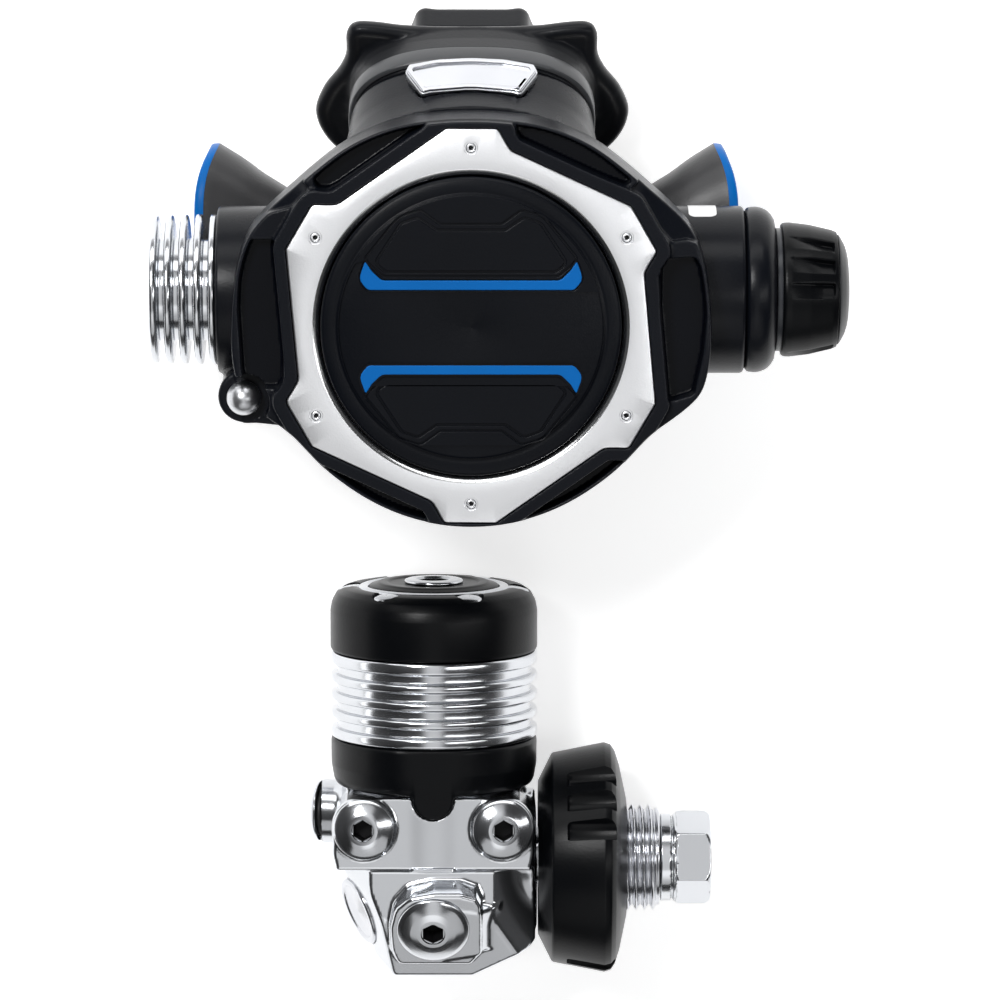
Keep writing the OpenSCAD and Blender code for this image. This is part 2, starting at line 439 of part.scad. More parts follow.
module first_stage_body() {
  color([0.8, 0.81, 0.83]) in_fs() difference() {
    union() {
      translate([0, 0, 0.7]) cylinder(r = 19.6, h = 15.7, $fn = 96);
      translate([0, 0, 16]) cylinder(r = 17.9, h = 8, $fn = 96);
      for (n = [0 : 3]) lp_frame(n) translate([0, 0, 9]) cylinder(r = lp_boss[n], h = lp_reach[n] - 9, $fn = 64);
      hull() {
        for (n = [0, 1]) lp_frame(n) translate([0, 0, 9.1]) cylinder(r = lp_boss[n] - 0.12, h = 10.5, $fn = 32);
        translate([-20.6, -18.8, 0.4]) cube([41.4, 8, 4]);
      }
      block();
      along_x(4, 0, 0) cylinder(r = 14.9, h = 17.8, $fn = 96);
    }
    translate([0, 0, 20.1]) cylinder(r = 14.5, h = 5, $fn = 64);
    translate([0, 0, 12]) cylinder(r = 9, h = 9, $fn = 64);
    translate([0, 0, -19]) cylinder(r = 5.05, h = 32, $fn = 48);
    for (n = [0 : 3]) lp_frame(n) translate([0, 0, lp_reach[n] - 10]) cylinder(r = lp_r, h = 11, $fn = 48);
    for (a = [-50, 50, lp_angles[2], lp_angles[3]]) radial(a, 9.5) cylinder(r = 1.6, h = 18, $fn = 24);
    for (n = [0 : 2]) lp_frame(n) translate([0, 0, lp_reach[n] - 1.2]) cylinder(r = 5.8, h = 3, $fn = 48);
    for (a = [0, 180]) hp_frame(a) {
      translate([0, 0, hp_reach - 10]) cylinder(r = hp_r, h = 11, $fn = 48);
      cylinder(r = 1.6, h = 14, $fn = 24);
      translate([0, 0, hp_reach - 1.2]) cylinder(r = 6.6, h = 3, $fn = 48);
    }
    along_x(14, 0, 0) cylinder(r = 8.05, h = 9, $fn = 64);
    along_x(0, 0, 0) cylinder(r = 3, h = 15, $fn = 32);
    translate([0, -16.6, 16.05]) rotate([90, 0, 0]) cylinder(r = 4.5, h = 7, $fn = 48);
    side_badge_solid();
  }
}
module side_badge_solid() { rotate([0, 0, 22]) translate([-17.4, 0, -10.6]) rotate([0, -109.5, 0]) translate([0, 0, -1]) cylinder(r = 7.6, h = 1.6, $fn = 64); }
module spring_housing() {
  color([0.84, 0.85, 0.87]) in_fs() rotate_extrude($fn = 128)
    polygon(concat([[17, 24.1], [18, 24.1], [18, 16.9], [19.9, 16.9], [19.9, 26.9], [barrel_r, 26.9]],
      [for (n = [0 : 3]) for (p = [[barrel_r, 29.2], [20.9, 29.2], [20.9, 31.4], [barrel_r, 31.4]]) [p[0], p[1] + n * 3.85]],
      [[barrel_r, 45.6], [19.8, 45.6], [19.8, 54], [14.4, 54], [14.4, 52], [17, 52]]));
}
module lower_sleeve() {
  color([0.06, 0.06, 0.07]) in_fs() difference() {
    union() {
      rotate_extrude($fn = 96) polygon([[19.95, 16.5], [20.9, 16.5], [22.1, 21], [22.1, 26.85], [19.95, 26.85]]);
      translate([0, -18, 16.05]) rotate([90, 0, 0]) cylinder(r = 4.4, h = 2.6, $fn = 48);
    }
    cylinder(r = 19.95, h = 30, $fn = 96);
    translate([-6, -30, 17]) cube([12, 9, 12]);
  }
}
module top_bumper() {
  color([0.05, 0.05, 0.06]) in_fs() difference() {
    rotate_extrude($fn = 128) polygon([[19.9, 45.68], [barrel_r, 45.68], [barrel_r, 54.2], [21.9, 56.2], [20.9, 58.1], [19.3, 59.2], [17.6, 59.5], [16.4, 59.4], [16.4, 57.5], [19, 57.4], [19.9, 56.4]]);
    for (n = [0 : 5]) rotate([0, 0, 60 * n - 4]) translate([17.4, 0, 56]) cylinder(r = 3.2, h = 6, $fn = 32);
  }
}
module top_ring() {
  color([0.84, 0.85, 0.87]) in_fs() difference() {
    union() {
      translate([0, 0, 54.05]) cylinder(r = 18.7, h = 3.3, $fn = 96);
      translate([0, 0, 56]) cylinder(r = 16.2, h = 3.6, $fn = 96);
      for (n = [0 : 5]) rotate([0, 0, 60 * n - 4]) translate([17.4, 0, 56.05]) cylinder(r = 3.05, h = 3.05, $fn = 48);
    }
    translate([0, 0, 50]) cylinder(r = 12, h = 12, $fn = 64);
    translate([0, 0, 56.2]) cylinder(r = 14.1, h = 4, $fn = 96);
  }
}
module ambient_seal() {
  color([0.05, 0.05, 0.06]) in_fs() difference() {
    union() { translate([0, 0, 56.3]) cylinder(r = 14, h = 3.7, $fn = 96); translate([0, 0, 59.9]) ring(11.6, 10, 0.4); }
    translate([0, 0, 50]) cylinder(r = 5.4, h = 12, $fn = 48);
  }
}
module adjusting_screw() {
  color([0.82, 0.83, 0.85]) in_fs() difference() {
    union() {
      translate([0, 0, 47.6]) cylinder(r = 14.3, h = 4, $fn = 64);
      translate([0, 0, 51]) cylinder(r = 5.2, h = 9.5, $fn = 48);
      translate([0, 0, 60.06]) cylinder(r1 = 6.4, r2 = 5.8, h = 0.8, $fn = 64);
    }
    translate([0, 0, 55.5]) cylinder(r = 3.4, h = 6, $fn = 6);
    for (n = [0 : 3]) rotate([0, 0, 90 * n]) translate([9.5, 0, 46]) cylinder(r = 1.8, h = 7, $fn = 24);
  }
}
module main_spring() { color([0.6, 0.6, 0.62]) in_fs() translate([0, 0, 24.65]) coil(10.6, 1.5, 22.9, 5, 22, 10); }
module spring_pad() {
  color([0.8, 0.66, 0.35]) in_fs() union() {
    translate([0, 0, 21.5]) cylinder(r = 12.4, h = 2.5, $fn = 64);
    translate([0, 0, 24]) cylinder(r = 8.4, h = 2.5, $fn = 48);
  }
}
module inlet_diaphragm() { color([0.08, 0.08, 0.08]) in_fs() translate([0, 0, 20.25]) cylinder(r = 14.4, h = 1.2, $fn = 64); }
module thrust_pin() {
  color([0.8, 0.66, 0.35]) in_fs() union() {
    translate([0, 0, 18.4]) cylinder(r = 6, h = 1.8, $fn = 48);
    translate([0, 0, -5.6]) cylinder(r = 1.2, h = 24.5, $fn = 24);
  }
}
module crown_orifice() {
  color([0.8, 0.66, 0.35]) in_fs() difference() {
    union() {
      translate([0, 0, 2.4]) cylinder(r = 5.02, h = 5, $fn = 48);
      translate([0, 0, -4.9]) cylinder(r1 = 2.8, r2 = 5.02, h = 7.3, $fn = 48);
    }
    translate([0, 0, -6]) cylinder(r = 1.9, h = 15, $fn = 24);
    along_x(-8, 0, 0) cylinder(r = 1.1, h = 16, $fn = 24);
  }
}
module inlet_poppet() {
  color([0.85, 0.85, 0.82]) in_fs() union() {
    translate([0, 0, -9]) cylinder(r = 4.3, h = 3.35, $fn = 48);
    translate([0, 0, -12.5]) cylinder(r = 2, h = 4, $fn = 24);
  }
}
module return_spring() { color([0.7, 0.7, 0.72]) in_fs() translate([0, 0, -18.95]) coil(3.4, 0.5, 9.85, 5, 14, 6); }
module plug(reach, thread, big, key, deep) {
  difference() {
    union() {
      translate([0, 0, reach - deep]) cylinder(r = thread - 0.04, h = deep - 1, $fn = 48);
      translate([0, 0, reach - 2]) rotate_extrude($fn = 64) polygon([[0, 0], [big, 0], [big, 0.5], [big * 0.86, 1.3], [big * 0.55, 2], [0, 2]]);
    }
    translate([0, 0, reach - 4.5]) cylinder(r = key, h = 6, $fn = 6);
  }
}
module low_port_plugs() { color([0.84, 0.85, 0.87]) in_fs() for (n = [0 : 2]) lp_frame(n) plug(lp_reach[n] + 2.02, lp_r, 6.6, 2.3, 11.4); }
module high_port_plugs() { color([0.84, 0.85, 0.87]) in_fs() for (a = [0, 180]) hp_frame(a) plug(hp_reach + 2.03, hp_r, 7.8, 2.5, 11.4); }
module port_plug_o_rings() {
  color([0.02, 0.02, 0.02]) in_fs() {
    for (n = [0 : 2]) lp_frame(n) translate([0, 0, lp_reach[n] - 0.6]) torus(5, 0.55);
    for (a = [0, 180]) hp_frame(a) translate([0, 0, hp_reach - 0.6]) torus(5.8, 0.55);
  }
}
module side_badge() { color([0.86, 0.87, 0.88]) in_fs() side_badge_solid(); }

// ---------- inlet connector and handwheel ----------
module handwheel() {
  color([0.06, 0.06, 0.07]) in_fs() difference() {
    along_x(22.4, 0, 0) rotate_extrude($fn = 128)
      polygon([[15.6, 0], [16.6, 0], [22.8, 3.1], [wheel_r, 14.6], [24.4, 15.8], [23, 16.7], [20, 17.6], [11.6, 19.4], [11.6, 11], [16.1, 11], [16.1, 3], [15.6, 3]]);
    for (g = [0 : 2]) for (k = [-1 : 1]) along_x(28.6, 0, 0) rotate([0, 0, 111.2 + 120 * g + 16 * k]) translate([wheel_r + 0.3, 0, 0])
      translate([-2.2, -1.25, 0]) cube([4, 2.5, 11]);
  }
}
module din_thread_sleeve() {
  color([0.8, 0.81, 0.83]) in_fs() along_x(30.7, 0, 0) difference() {
    union() {
      cylinder(r = din_r - 0.25, h = 17, $fn = 96);
      translate([0, 0, 13.2]) cylinder(r = din_r, h = 4.7, $fn = 96);
      cylinder(r = 16, h = 2.6, $fn = 64);
    }
    translate([0, 0, -1]) cylinder(r = 6.58, h = 20, $fn = 64);
  }
}
module din_connector() {
  color([0.84, 0.85, 0.87]) in_fs() difference() {
    union() {
      along_x(14.1, 0, 0) cylinder(r = 8, h = 7.6, $fn = 64);
      along_x(21, 0, 0) cylinder(r = 6.5, h = 29, $fn = 64);
      along_x(48.8, 0, 0) cylinder(r = 9.5, h = 3.2, $fn = 64);
      intersection() {
        along_x(51.8, 0, 0) rotate([0, 0, 49.4]) cylinder(r = 10.1, h = 7.9, $fn = 6);
        along_x(51.8, 0, 0) cylinder(r1 = 12, r2 = 9, h = 8, $fn = 64);
      }
    }
    along_x(13, 0, 0) cylinder(r = 3, h = 40, $fn = 32);
    along_x(52, 0, 0) cylinder(r = 4.2, h = 9, $fn = 32);
    along_x(58.5, 0, 0) ring(8.2, 5.8, 2);
  }
}
module wheel_clip() { color([0.5, 0.5, 0.52]) in_fs() along_x(29.7, 0, 0) difference() { ring(9.2, 6.5, 0.9); translate([5, -1.5, -1]) cube([6, 3, 4]); } }
module din_o_ring() { color([0.02, 0.02, 0.02]) in_fs() along_x(59.15, 0, 0) torus(7, 0.62); }
module inlet_filter() { color([0.72, 0.6, 0.4]) in_fs() along_x(53.5, 0, 0) cylinder(r1 = 4.1, r2 = 4.1, h = 2.4, $fn = 32); }

second_stage_case();
front_bumper();
face_ring();
face_ring_rivets();
purge_button();
purge_stripes();
purge_spring();
diaphragm_cover();
diaphragm_membrane();
diaphragm_plate();
demand_lever();
valve_barrel();
inlet_orifice();
demand_poppet();
poppet_seat();
poppet_spring();
spring_adjuster();
adjuster_o_ring();
venturi_vane();
heat_exchanger();
inlet_fitting();
index_mark();
knob_ring();
adjusting_knob();
knob_end_cap();
mouthpiece();
mouthpiece_clamp();
exhaust_tee();
exhaust_tee_trims();
exhaust_valve();
top_badge();
cover_lock_pin();
second_stage_o_rings();
first_stage_body();
spring_housing();
lower_sleeve();
top_bumper();
top_ring();
ambient_seal();
adjusting_screw();
main_spring();
spring_pad();
inlet_diaphragm();
thrust_pin();
crown_orifice();
inlet_poppet();
return_spring();
low_port_plugs();
high_port_plugs();
port_plug_o_rings();
side_badge();
handwheel();
din_thread_sleeve();
din_connector();
wheel_clip();
din_o_ring();
inlet_filter();
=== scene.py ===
import json
import math
import bpy
import bmesh
import numpy as np
from mathutils import Matrix, Vector


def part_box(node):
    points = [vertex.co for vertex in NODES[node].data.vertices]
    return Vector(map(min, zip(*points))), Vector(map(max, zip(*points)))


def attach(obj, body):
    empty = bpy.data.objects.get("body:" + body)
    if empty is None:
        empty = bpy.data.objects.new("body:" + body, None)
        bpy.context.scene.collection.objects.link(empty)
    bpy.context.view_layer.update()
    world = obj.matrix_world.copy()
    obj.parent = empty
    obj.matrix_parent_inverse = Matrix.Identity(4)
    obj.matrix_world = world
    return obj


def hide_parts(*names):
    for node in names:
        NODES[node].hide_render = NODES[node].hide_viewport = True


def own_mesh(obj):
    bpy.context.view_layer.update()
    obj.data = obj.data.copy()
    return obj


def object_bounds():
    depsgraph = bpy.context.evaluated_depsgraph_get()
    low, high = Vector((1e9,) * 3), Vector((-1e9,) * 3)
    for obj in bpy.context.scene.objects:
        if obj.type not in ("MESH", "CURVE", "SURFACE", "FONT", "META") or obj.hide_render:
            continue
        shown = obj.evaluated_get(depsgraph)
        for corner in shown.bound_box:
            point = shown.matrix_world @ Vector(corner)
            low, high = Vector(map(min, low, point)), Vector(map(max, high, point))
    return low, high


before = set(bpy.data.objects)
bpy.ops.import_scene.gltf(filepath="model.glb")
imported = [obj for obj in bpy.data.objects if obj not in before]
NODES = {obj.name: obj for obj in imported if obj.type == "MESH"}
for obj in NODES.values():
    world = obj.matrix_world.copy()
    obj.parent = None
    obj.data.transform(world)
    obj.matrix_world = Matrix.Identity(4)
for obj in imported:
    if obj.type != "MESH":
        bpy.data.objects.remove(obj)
CAD_LO, CAD_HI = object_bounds()

# ------------------------------------------------------------------ frames, in millimetres
MM = 0.001
SSX, SSY = -5.93, 42.925
FSX, FSY = -14.24, -79.045
LEAN = math.asin((24.9 - 22.3) / 54.8)
SS = Matrix.Translation((SSX, SSY, 0))
FS = Matrix.Translation((FSX, FSY, 24.9)) @ Matrix.Rotation(-math.pi / 2 - LEAN, 4, "X")
MOUTH = SS @ Matrix.Translation((0, 27.4, 33.4)) @ Matrix.Rotation(math.radians(215), 4, "X")
PY, PZ = 4.2, 43.0
PORT = SS @ Matrix.Translation((0, PY, PZ)) @ Matrix.Rotation(math.pi / 2, 4, "Y")      # its z runs along +X, its x points down
DIN = FS @ Matrix.Rotation(math.pi / 2, 4, "Y")


def radial(a, z):
    return FS @ Matrix.Translation((0, 0, z)) @ Matrix.Rotation(math.radians(a), 4, "Z") @ Matrix.Rotation(math.pi / 2, 4, "X")


# ------------------------------------------------------------------ materials
def new_mat(name):
    m = bpy.data.materials.new(name)
    m.use_nodes = True
    m.node_tree.nodes.clear()
    return m, m.node_tree.nodes, m.node_tree.links


def material(name, color, rough=0.4, metallic=0.0, coat=0.0, coat_rough=0.1, ior=1.5, sheen=0.0,
             vary=0.08, vary_scale=60.0, rough_vary=0.06, bump=0.0, bump_scale=900.0, scratch=0.0, edge=0.0,
             edge_wear_and_highlight_color=None, aniso=0.0, spec=0.5, bump2=0.0, bump2_scale=220.0, stretch=None):
    """Principled material with colour variation, roughness variation, fine grain, optional hair scratches and lighter
    convex edges (edge wear together with a painted edge highlight).
    """
    m, N, L = new_mat(name)
    out = N.new("ShaderNodeOutputMaterial")
    b = N.new("ShaderNodeBsdfPrincipled")
    L.new(b.outputs[0], out.inputs[0])
    b.inputs["Metallic"].default_value = metallic
    b.inputs["IOR"].default_value = ior
    b.inputs["Coat Weight"].default_value = coat
    b.inputs["Coat Roughness"].default_value = coat_rough
    b.inputs["Sheen Weight"].default_value = sheen
    b.inputs["Anisotropic"].default_value = aniso
    b.inputs["Specular IOR Level"].default_value = spec
    tc = N.new("ShaderNodeTexCoord")
    mp = N.new("ShaderNodeMapping")
    L.new(tc.outputs["Object"], mp.inputs[0])
    if stretch:
        mp.inputs["Scale"].default_value = stretch
    big = N.new("ShaderNodeTexNoise")
    big.inputs["Scale"].default_value = vary_scale
    big.inputs["Detail"].default_value = 4.0
    L.new(mp.outputs[0], big.inputs["Vector"])
    ramp = N.new("ShaderNodeValToRGB")
    lo = [max(0.0, c * (1 - vary)) for c in color]
    hi = [min(1.0, c * (1 + vary)) for c in color]
    ramp.color_ramp.elements[0].color = (*lo, 1)
    ramp.color_ramp.elements[1].color = (*hi, 1)
    ramp.color_ramp.elements[0].position = 0.3
    ramp.color_ramp.elements[1].position = 0.7
    L.new(big.outputs["Fac"], ramp.inputs[0])
    col = ramp.outputs[0]
    # lighter colour on convex edges, found by pointiness: a painted edge highlight together with edge wear
    if edge > 0:
        geo = N.new("ShaderNodeNewGeometry")
        er = N.new("ShaderNodeValToRGB")
        er.color_ramp.elements[0].position = 0.52
        er.color_ramp.elements[1].position = 0.62
        L.new(geo.outputs["Pointiness"], er.inputs[0])
        mul = N.new("ShaderNodeMath"); mul.operation = "MULTIPLY"
        L.new(er.outputs[0], mul.inputs[0]); mul.inputs[1].default_value = edge
        mix = N.new("ShaderNodeMix"); mix.data_type = "RGBA"
        L.new(mul.outputs[0], mix.inputs[0]); L.new(col, mix.inputs[6])
        ec = edge_wear_and_highlight_color or [min(1, c * 2.2 + 0.03) for c in color]
        mix.inputs[7].default_value = (*ec, 1)
        col = mix.outputs[2]
    L.new(col, b.inputs["Base Color"])
    rn = N.new("ShaderNodeTexNoise")
    rn.inputs["Scale"].default_value = vary_scale * 2.3
    rn.inputs["Detail"].default_value = 6.0
    L.new(mp.outputs[0], rn.inputs["Vector"])
    rr = N.new("ShaderNodeMapRange")
    rr.inputs["To Min"].default_value = max(0.01, rough - rough_vary)
    rr.inputs["To Max"].default_value = min(1.0, rough + rough_vary)
    L.new(rn.outputs["Fac"], rr.inputs["Value"])
    L.new(rr.outputs[0], b.inputs["Roughness"])
    height = None
    if bump > 0:
        fn = N.new("ShaderNodeTexNoise")
        fn.inputs["Scale"].default_value = bump_scale
        fn.inputs["Detail"].default_value = 3.0
        L.new(mp.outputs[0], fn.inputs["Vector"])
        bp = N.new("ShaderNodeBump")
        bp.inputs["Strength"].default_value = bump
        bp.inputs["Distance"].default_value = 0.0002
        L.new(fn.outputs["Fac"], bp.inputs["Height"])
        height = bp
    if bump2 > 0:
        fn2 = N.new("ShaderNodeTexNoise")
        fn2.inputs["Scale"].default_value = bump2_scale
        fn2.inputs["Detail"].default_value = 2.0
        L.new(tc.outputs["Object"], fn2.inputs["Vector"])
        bp2 = N.new("ShaderNodeBump")
        bp2.inputs["Strength"].default_value = bump2
        bp2.inputs["Distance"].default_value = 0.0004
        L.new(fn2.outputs["Fac"], bp2.inputs["Height"])
        if height:
            L.new(height.outputs[0], bp2.inputs["Normal"])
        height = bp2
    if scratch > 0:
        sm = N.new("ShaderNodeMapping")
        sm.inputs["Scale"].default_value = (1.0, 14.0, 3.0)
        sm.inputs["Rotation"].default_value = (0.3, 0.5, 0.7)
        L.new(tc.outputs["Object"], sm.inputs[0])
        sn = N.new("ShaderNodeTexNoise")
        sn.inputs["Scale"].default_value = 400.0
        sn.inputs["Detail"].default_value = 2.0
        L.new(sm.outputs[0], sn.inputs["Vector"])
        bs = N.new("ShaderNodeBump")
        bs.inputs["Strength"].default_value = scratch
        bs.inputs["Distance"].default_value = 0.0001
        L.new(sn.outputs["Fac"], bs.inputs["Height"])
        if height:
            L.new(height.outputs[0], bs.inputs["Normal"])
        height = bs
    if height:
        L.new(height.outputs[0], b.inputs["Normal"])
    return m


M = {}
# dark non-metal for the faces inside sockets and recesses of chrome parts: painted shade
M["socket"] = material("socket_painted_shade", (0.008, 0.008, 0.009), rough=0.5, vary=0.2, spec=0.2)
# edge= lightens convex edges: a painted edge highlight together with edge wear
M["case"] = material("moulded_black", (0.0035, 0.0043, 0.0068), spec=0.17, rough=0.29, bump=0.12, bump_scale=1600, edge=0.25, vary=0.12, coat=0.0)
M["bumper"] = material("bumper_black", (0.0035, 0.0045, 0.0075), spec=0.14, rough=0.31, bump=0.25, bump_scale=2200, edge=0.35, vary=0.10)
M["purge"] = material("purge_black", (0.0025, 0.0033, 0.0055), spec=0.13, rough=0.32, bump=0.16, bump_scale=2400, vary=0.10)
M["groove"] = material("groove_black", (0.006, 0.006, 0.008), rough=0.5, vary=0.1)
M["rubber"] = material("rubber_black", (0.002, 0.0024, 0.0032), spec=0.12, rough=0.32, bump=0.10, bump_scale=1500, edge=0.12, vary=0.12, coat=0.04, coat_rough=0.3)
M["mouth"] = material("silicone_black", (0.0035, 0.0043, 0.0065), spec=0.17, rough=0.31, bump=0.10, bump_scale=1300, edge=0.1, vary=0.12, sheen=0.15)
M["tee"] = material("tee_grey", (0.034, 0.034, 0.036), spec=0.40, rough=0.38, bump=0.2, bump_scale=1500, edge=0.2, vary=0.12)
M["blue"] = material("blue_trim", (0.0005, 0.126, 0.44), spec=0.12, rough=0.38, bump=0.06, bump_scale=1400, vary=0.05)
M["chrome"] = material("polished_chrome", (0.62, 0.635, 0.66), rough=0.17, metallic=1.0, rough_vary=0.025, vary=0.02, scratch=0.012)
M["chrome2"] = material("satin_chrome", (0.60, 0.61, 0.64), rough=0.20, metallic=1.0, rough_vary=0.04, vary=0.03, scratch=0.03)
M["plate"] = material("satin_plate", (0.91, 0.92, 0.94), rough=0.34, metallic=1.0, rough_vary=0.03, vary=0.02, bump=0.10, bump_scale=2600)
M["bevel"] = material("polished_bevel", (0.84, 0.85, 0.86), rough=0.18, metallic=1.0, rough_vary=0.02, vary=0.01)
M["steel"] = material("spring_steel", (0.55, 0.55, 0.57), rough=0.28, metallic=1.0, vary=0.05, scratch=0.08)
M["brass"] = material("machined_brass", (0.62, 0.44, 0.18), rough=0.25, metallic=1.0, vary=0.06, scratch=0.06)
M["bronze"] = material("sintered_bronze", (0.42, 0.27, 0.12), rough=0.6, metallic=1.0, vary=0.2, bump=0.8, bump_scale=1800)
M["white"] = material("white_mark", (0.80, 0.80, 0.80), rough=0.35, vary=0.02, bump=0.05)
M["poppet"] = material("white_plastic", (0.72, 0.72, 0.70), rough=0.4, vary=0.03, bump=0.05)
M["seal"] = material("seal_rubber", (0.010, 0.010, 0.011), rough=0.5, vary=0.1, bump=0.08)
M["silicone"] = material("clear_silicone", (0.62, 0.64, 0.64), rough=0.4, vary=0.04, bump=0.05)

# ------------------------------------------------------------------ mesh helpers
OUT = {}


def done(me, name, body, mats, replaces=(), smooth=True):
    ob = bpy.data.objects.new(name, me)
    bpy.context.scene.collection.objects.link(ob)
    for m in (mats if isinstance(mats, (list, tuple)) else [mats]):
        me.materials.append(M[m])
    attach(ob, body)
    if replaces:
        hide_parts(*replaces)
    OUT[name] = ob
    return ob


def to_mesh(verts, faces, name, xf=None, mat_index=None, sharp=35.0, weld=None):
    """verts in mm in the frame xf -> a mesh in metres in the row frame, smooth with sharp edges above an angle."""
    bm = bmesh.new()
    vs = [bm.verts.new(v) for v in verts]
    for k, f in enumerate(faces):
        try:
            fc = bm.faces.new([vs[i] for i in f])
            if mat_index is not None:
                fc.material_index = mat_index[k]
        except ValueError:
            pass
    if weld:
        bmesh.ops.remove_doubles(bm, verts=bm.verts, dist=weld)
    bmesh.ops.recalc_face_normals(bm, faces=bm.faces)
    bm.transform((xf if xf is not None else Matrix.Identity(4)))
    bm.transform(Matrix.Scale(MM, 4))
    for f in bm.faces:
        f.smooth = True
    lim = math.radians(sharp)
    for e in bm.edges:
        if len(e.link_faces) == 2 and e.calc_face_angle(0) > lim:
            e.smooth = False
    me = bpy.data.meshes.new(name)
    bm.to_mesh(me)
    bm.free()
    return me


def rounded(profile, radius, seg=4, closed=True):
    """Rounds the corners of a 2D polyline (list of (x, y) or (x, y, r))."""
    n = len(profile)
    out = []
    for i, p in enumerate(profile):
        r = p[2] if len(p) > 2 else radius
        if (not closed and i in (0, n - 1)) or r <= 0:
            out.append((p[0], p[1]))
            continue
        a = Vector(profile[i - 1][:2]); b = Vector(p[:2]); c = Vector(profile[(i + 1) % n][:2])
        u = (a - b); w = (c - b)
        lu, lw = u.length, w.length
        if lu < 1e-6 or lw < 1e-6:
            out.append((b.x, b.y)); continue
        u /= lu; w /= lw
        ang = u.angle(w)
        if ang > math.radians(176):
            out.append((b.x, b.y)); continue
        t = min(r / math.tan(ang / 2), 0.48 * lu, 0.48 * lw)
        rr = t * math.tan(ang / 2)
        centre = b + (u + w).normalized() * (rr / math.sin(ang / 2))
        p0, p1 = b + u * t, b + w * t
        v0, v1 = p0 - centre, p1 - centre
        a0 = math.atan2(v0.y, v0.x); a1 = math.atan2(v1.y, v1.x)
        d = (a1 - a0 + math.pi) % (2 * math.pi) - math.pi
        k = max(1, int(round(seg * abs(d) / (math.pi / 2))))
        for j in range(k + 1):
            t_ = a0 + d * j / k
            out.append((centre.x + rr * math.cos(t_), centre.y + rr * math.sin(t_)))
    return out


def lathe(name, profile, xf, body, mats, n=96, radius=0.0, seg=3, replaces=(), sharp=35.0, mat_of=None, wave=None):
    """profile: closed list of (r, z[, corner radius]) around the solid; r = 0 points lie on the axis."""
    prof = rounded(profile, radius, seg, closed=True)
    verts, faces, rings = [], [], []
    for (r, z) in prof:
        if r < 1e-6:
            rings.append([len(verts)])
            verts.append((0, 0, z))
        else:
            rings.append(list(range(len(verts), len(verts) + n)))
            for i in range(n):
                t = 2 * math.pi * i / n
                rr = r * (wave(t, r, z) if wave else 1.0)
                verts.append((rr * math.cos(t), rr * math.sin(t), z))
    mi = []
    m = len(prof)
    for k in range(m):
        a, b = rings[k], rings[(k + 1) % m]
        if len(a) == 1 and len(b) == 1:
            continue
        idx = mat_of(0.5 * (prof[k][0] + prof[(k + 1) % m][0]), 0.5 * (prof[k][1] + prof[(k + 1) % m][1])) if mat_of else 0
        for i in range(n):
            j = (i + 1) % n
            if len(a) == 1:
                faces.append((a[0], b[j], b[i]))
            elif len(b) == 1:
                faces.append((a[i], a[j], b[0]))
            else:
                faces.append((a[i], a[j], b[j], b[i]))
            mi.append(idx)
    me = to_mesh(verts, faces, name, xf, mi, sharp)
    return done(me, name, body, mats, replaces)


# ------------------------------------------------------------------ signed distance kit
def length(*c):
    s = c[0] * c[0]
    for k in c[1:]:
        s = s + k * k
    return np.sqrt(s)


def smin(a, b, k):
    if k <= 0:
        return np.minimum(a, b)
    h = np.maximum(k - np.abs(a - b), 0.0) / k
    return np.minimum(a, b) - h * h * k * 0.25


def smax(a, b, k):
    return -smin(-a, -b, k)


def local(P, xf):
    """points in a frame's own coordinates (xf maps local to the frame P is in; rigid)"""
    R = np.array(xf.to_3x3(), float)
    t = np.array(xf.translation, float)
    return (P - t) @ R


def sd_box(P, half, r=0.0):
    q = np.abs(P) - (np.array(half) - r)
    return np.linalg.norm(np.maximum(q, 0), axis=1) + np.minimum(q.max(1), 0) - r


def sd_cyl(P, r, z0, z1, rd=0.0):
    """cylinder about z"""
    d0 = length(P[:, 0], P[:, 1]) - (r - rd)
    d1 = np.abs(P[:, 2] - 0.5 * (z0 + z1)) - (0.5 * (z1 - z0) - rd)
    return np.minimum(np.maximum(d0, d1), 0) + length(np.maximum(d0, 0), np.maximum(d1, 0)) - rd


def sd_cone(P, r0, z0, r1, z1, rd=0.0):
    """solid between two radii, convex, about z (approximate)"""
    q = length(P[:, 0], P[:, 1])
    dr, dz = r1 - r0, z1 - z0
    L_ = math.hypot(dr, dz)
    side = ((q - r0) * dz - (P[:, 2] - z0) * dr) / L_
    cap = np.maximum(z0 - P[:, 2], P[:, 2] - z1)
    a, b = side + rd, cap + rd
    return np.minimum(np.maximum(a, b), 0) + length(np.maximum(a, 0), np.maximum(b, 0)) - rd


def poly2(X, Y, pts):
    """signed distance to a 2D polygon"""
    n = len(pts)
    d = np.full(X.shape, 1e9)
    s = np.ones(X.shape)
    for i in range(n):
        ax, ay = pts[i]
        bx, by = pts[i - 1]
        ex, ey = bx - ax, by - ay
        wx, wy = X - ax, Y - ay
        t = np.clip((wx * ex + wy * ey) / (ex * ex + ey * ey), 0, 1)
        d = np.minimum(d, (wx - ex * t) ** 2 + (wy - ey * t) ** 2)
        c1 = Y >= ay
        c2 = Y < by
        c3 = ex * wy > ey * wx
        flip = (c1 & c2 & c3) | (~c1 & ~c2 & ~c3)
        s = np.where(flip, -s, s)
    return s * np.sqrt(d)


def extrude(d2, z, z0, z1, rd=0.0):
    a = d2 + rd
    b = np.abs(z - 0.5 * (z0 + z1)) - (0.5 * (z1 - z0) - rd)
    return np.minimum(np.maximum(a, b), 0) + length(np.maximum(a, 0), np.maximum(b, 0)) - rd


def oval2(X, Y, a, b, e):
    """rough signed distance to a superellipse; a and b may be arrays"""
    k = (np.abs(X / a) ** e + np.abs(Y / b) ** e + 1e-12) ** (1.0 / e)
    r = length(X, Y) + 1e-9
    return (k - 1.0) * r / k


def stadium2(X, Y, w, h):
    q = np.maximum(np.abs(X) - (w - h) / 2, 0)
    return length(q, Y) - h / 2


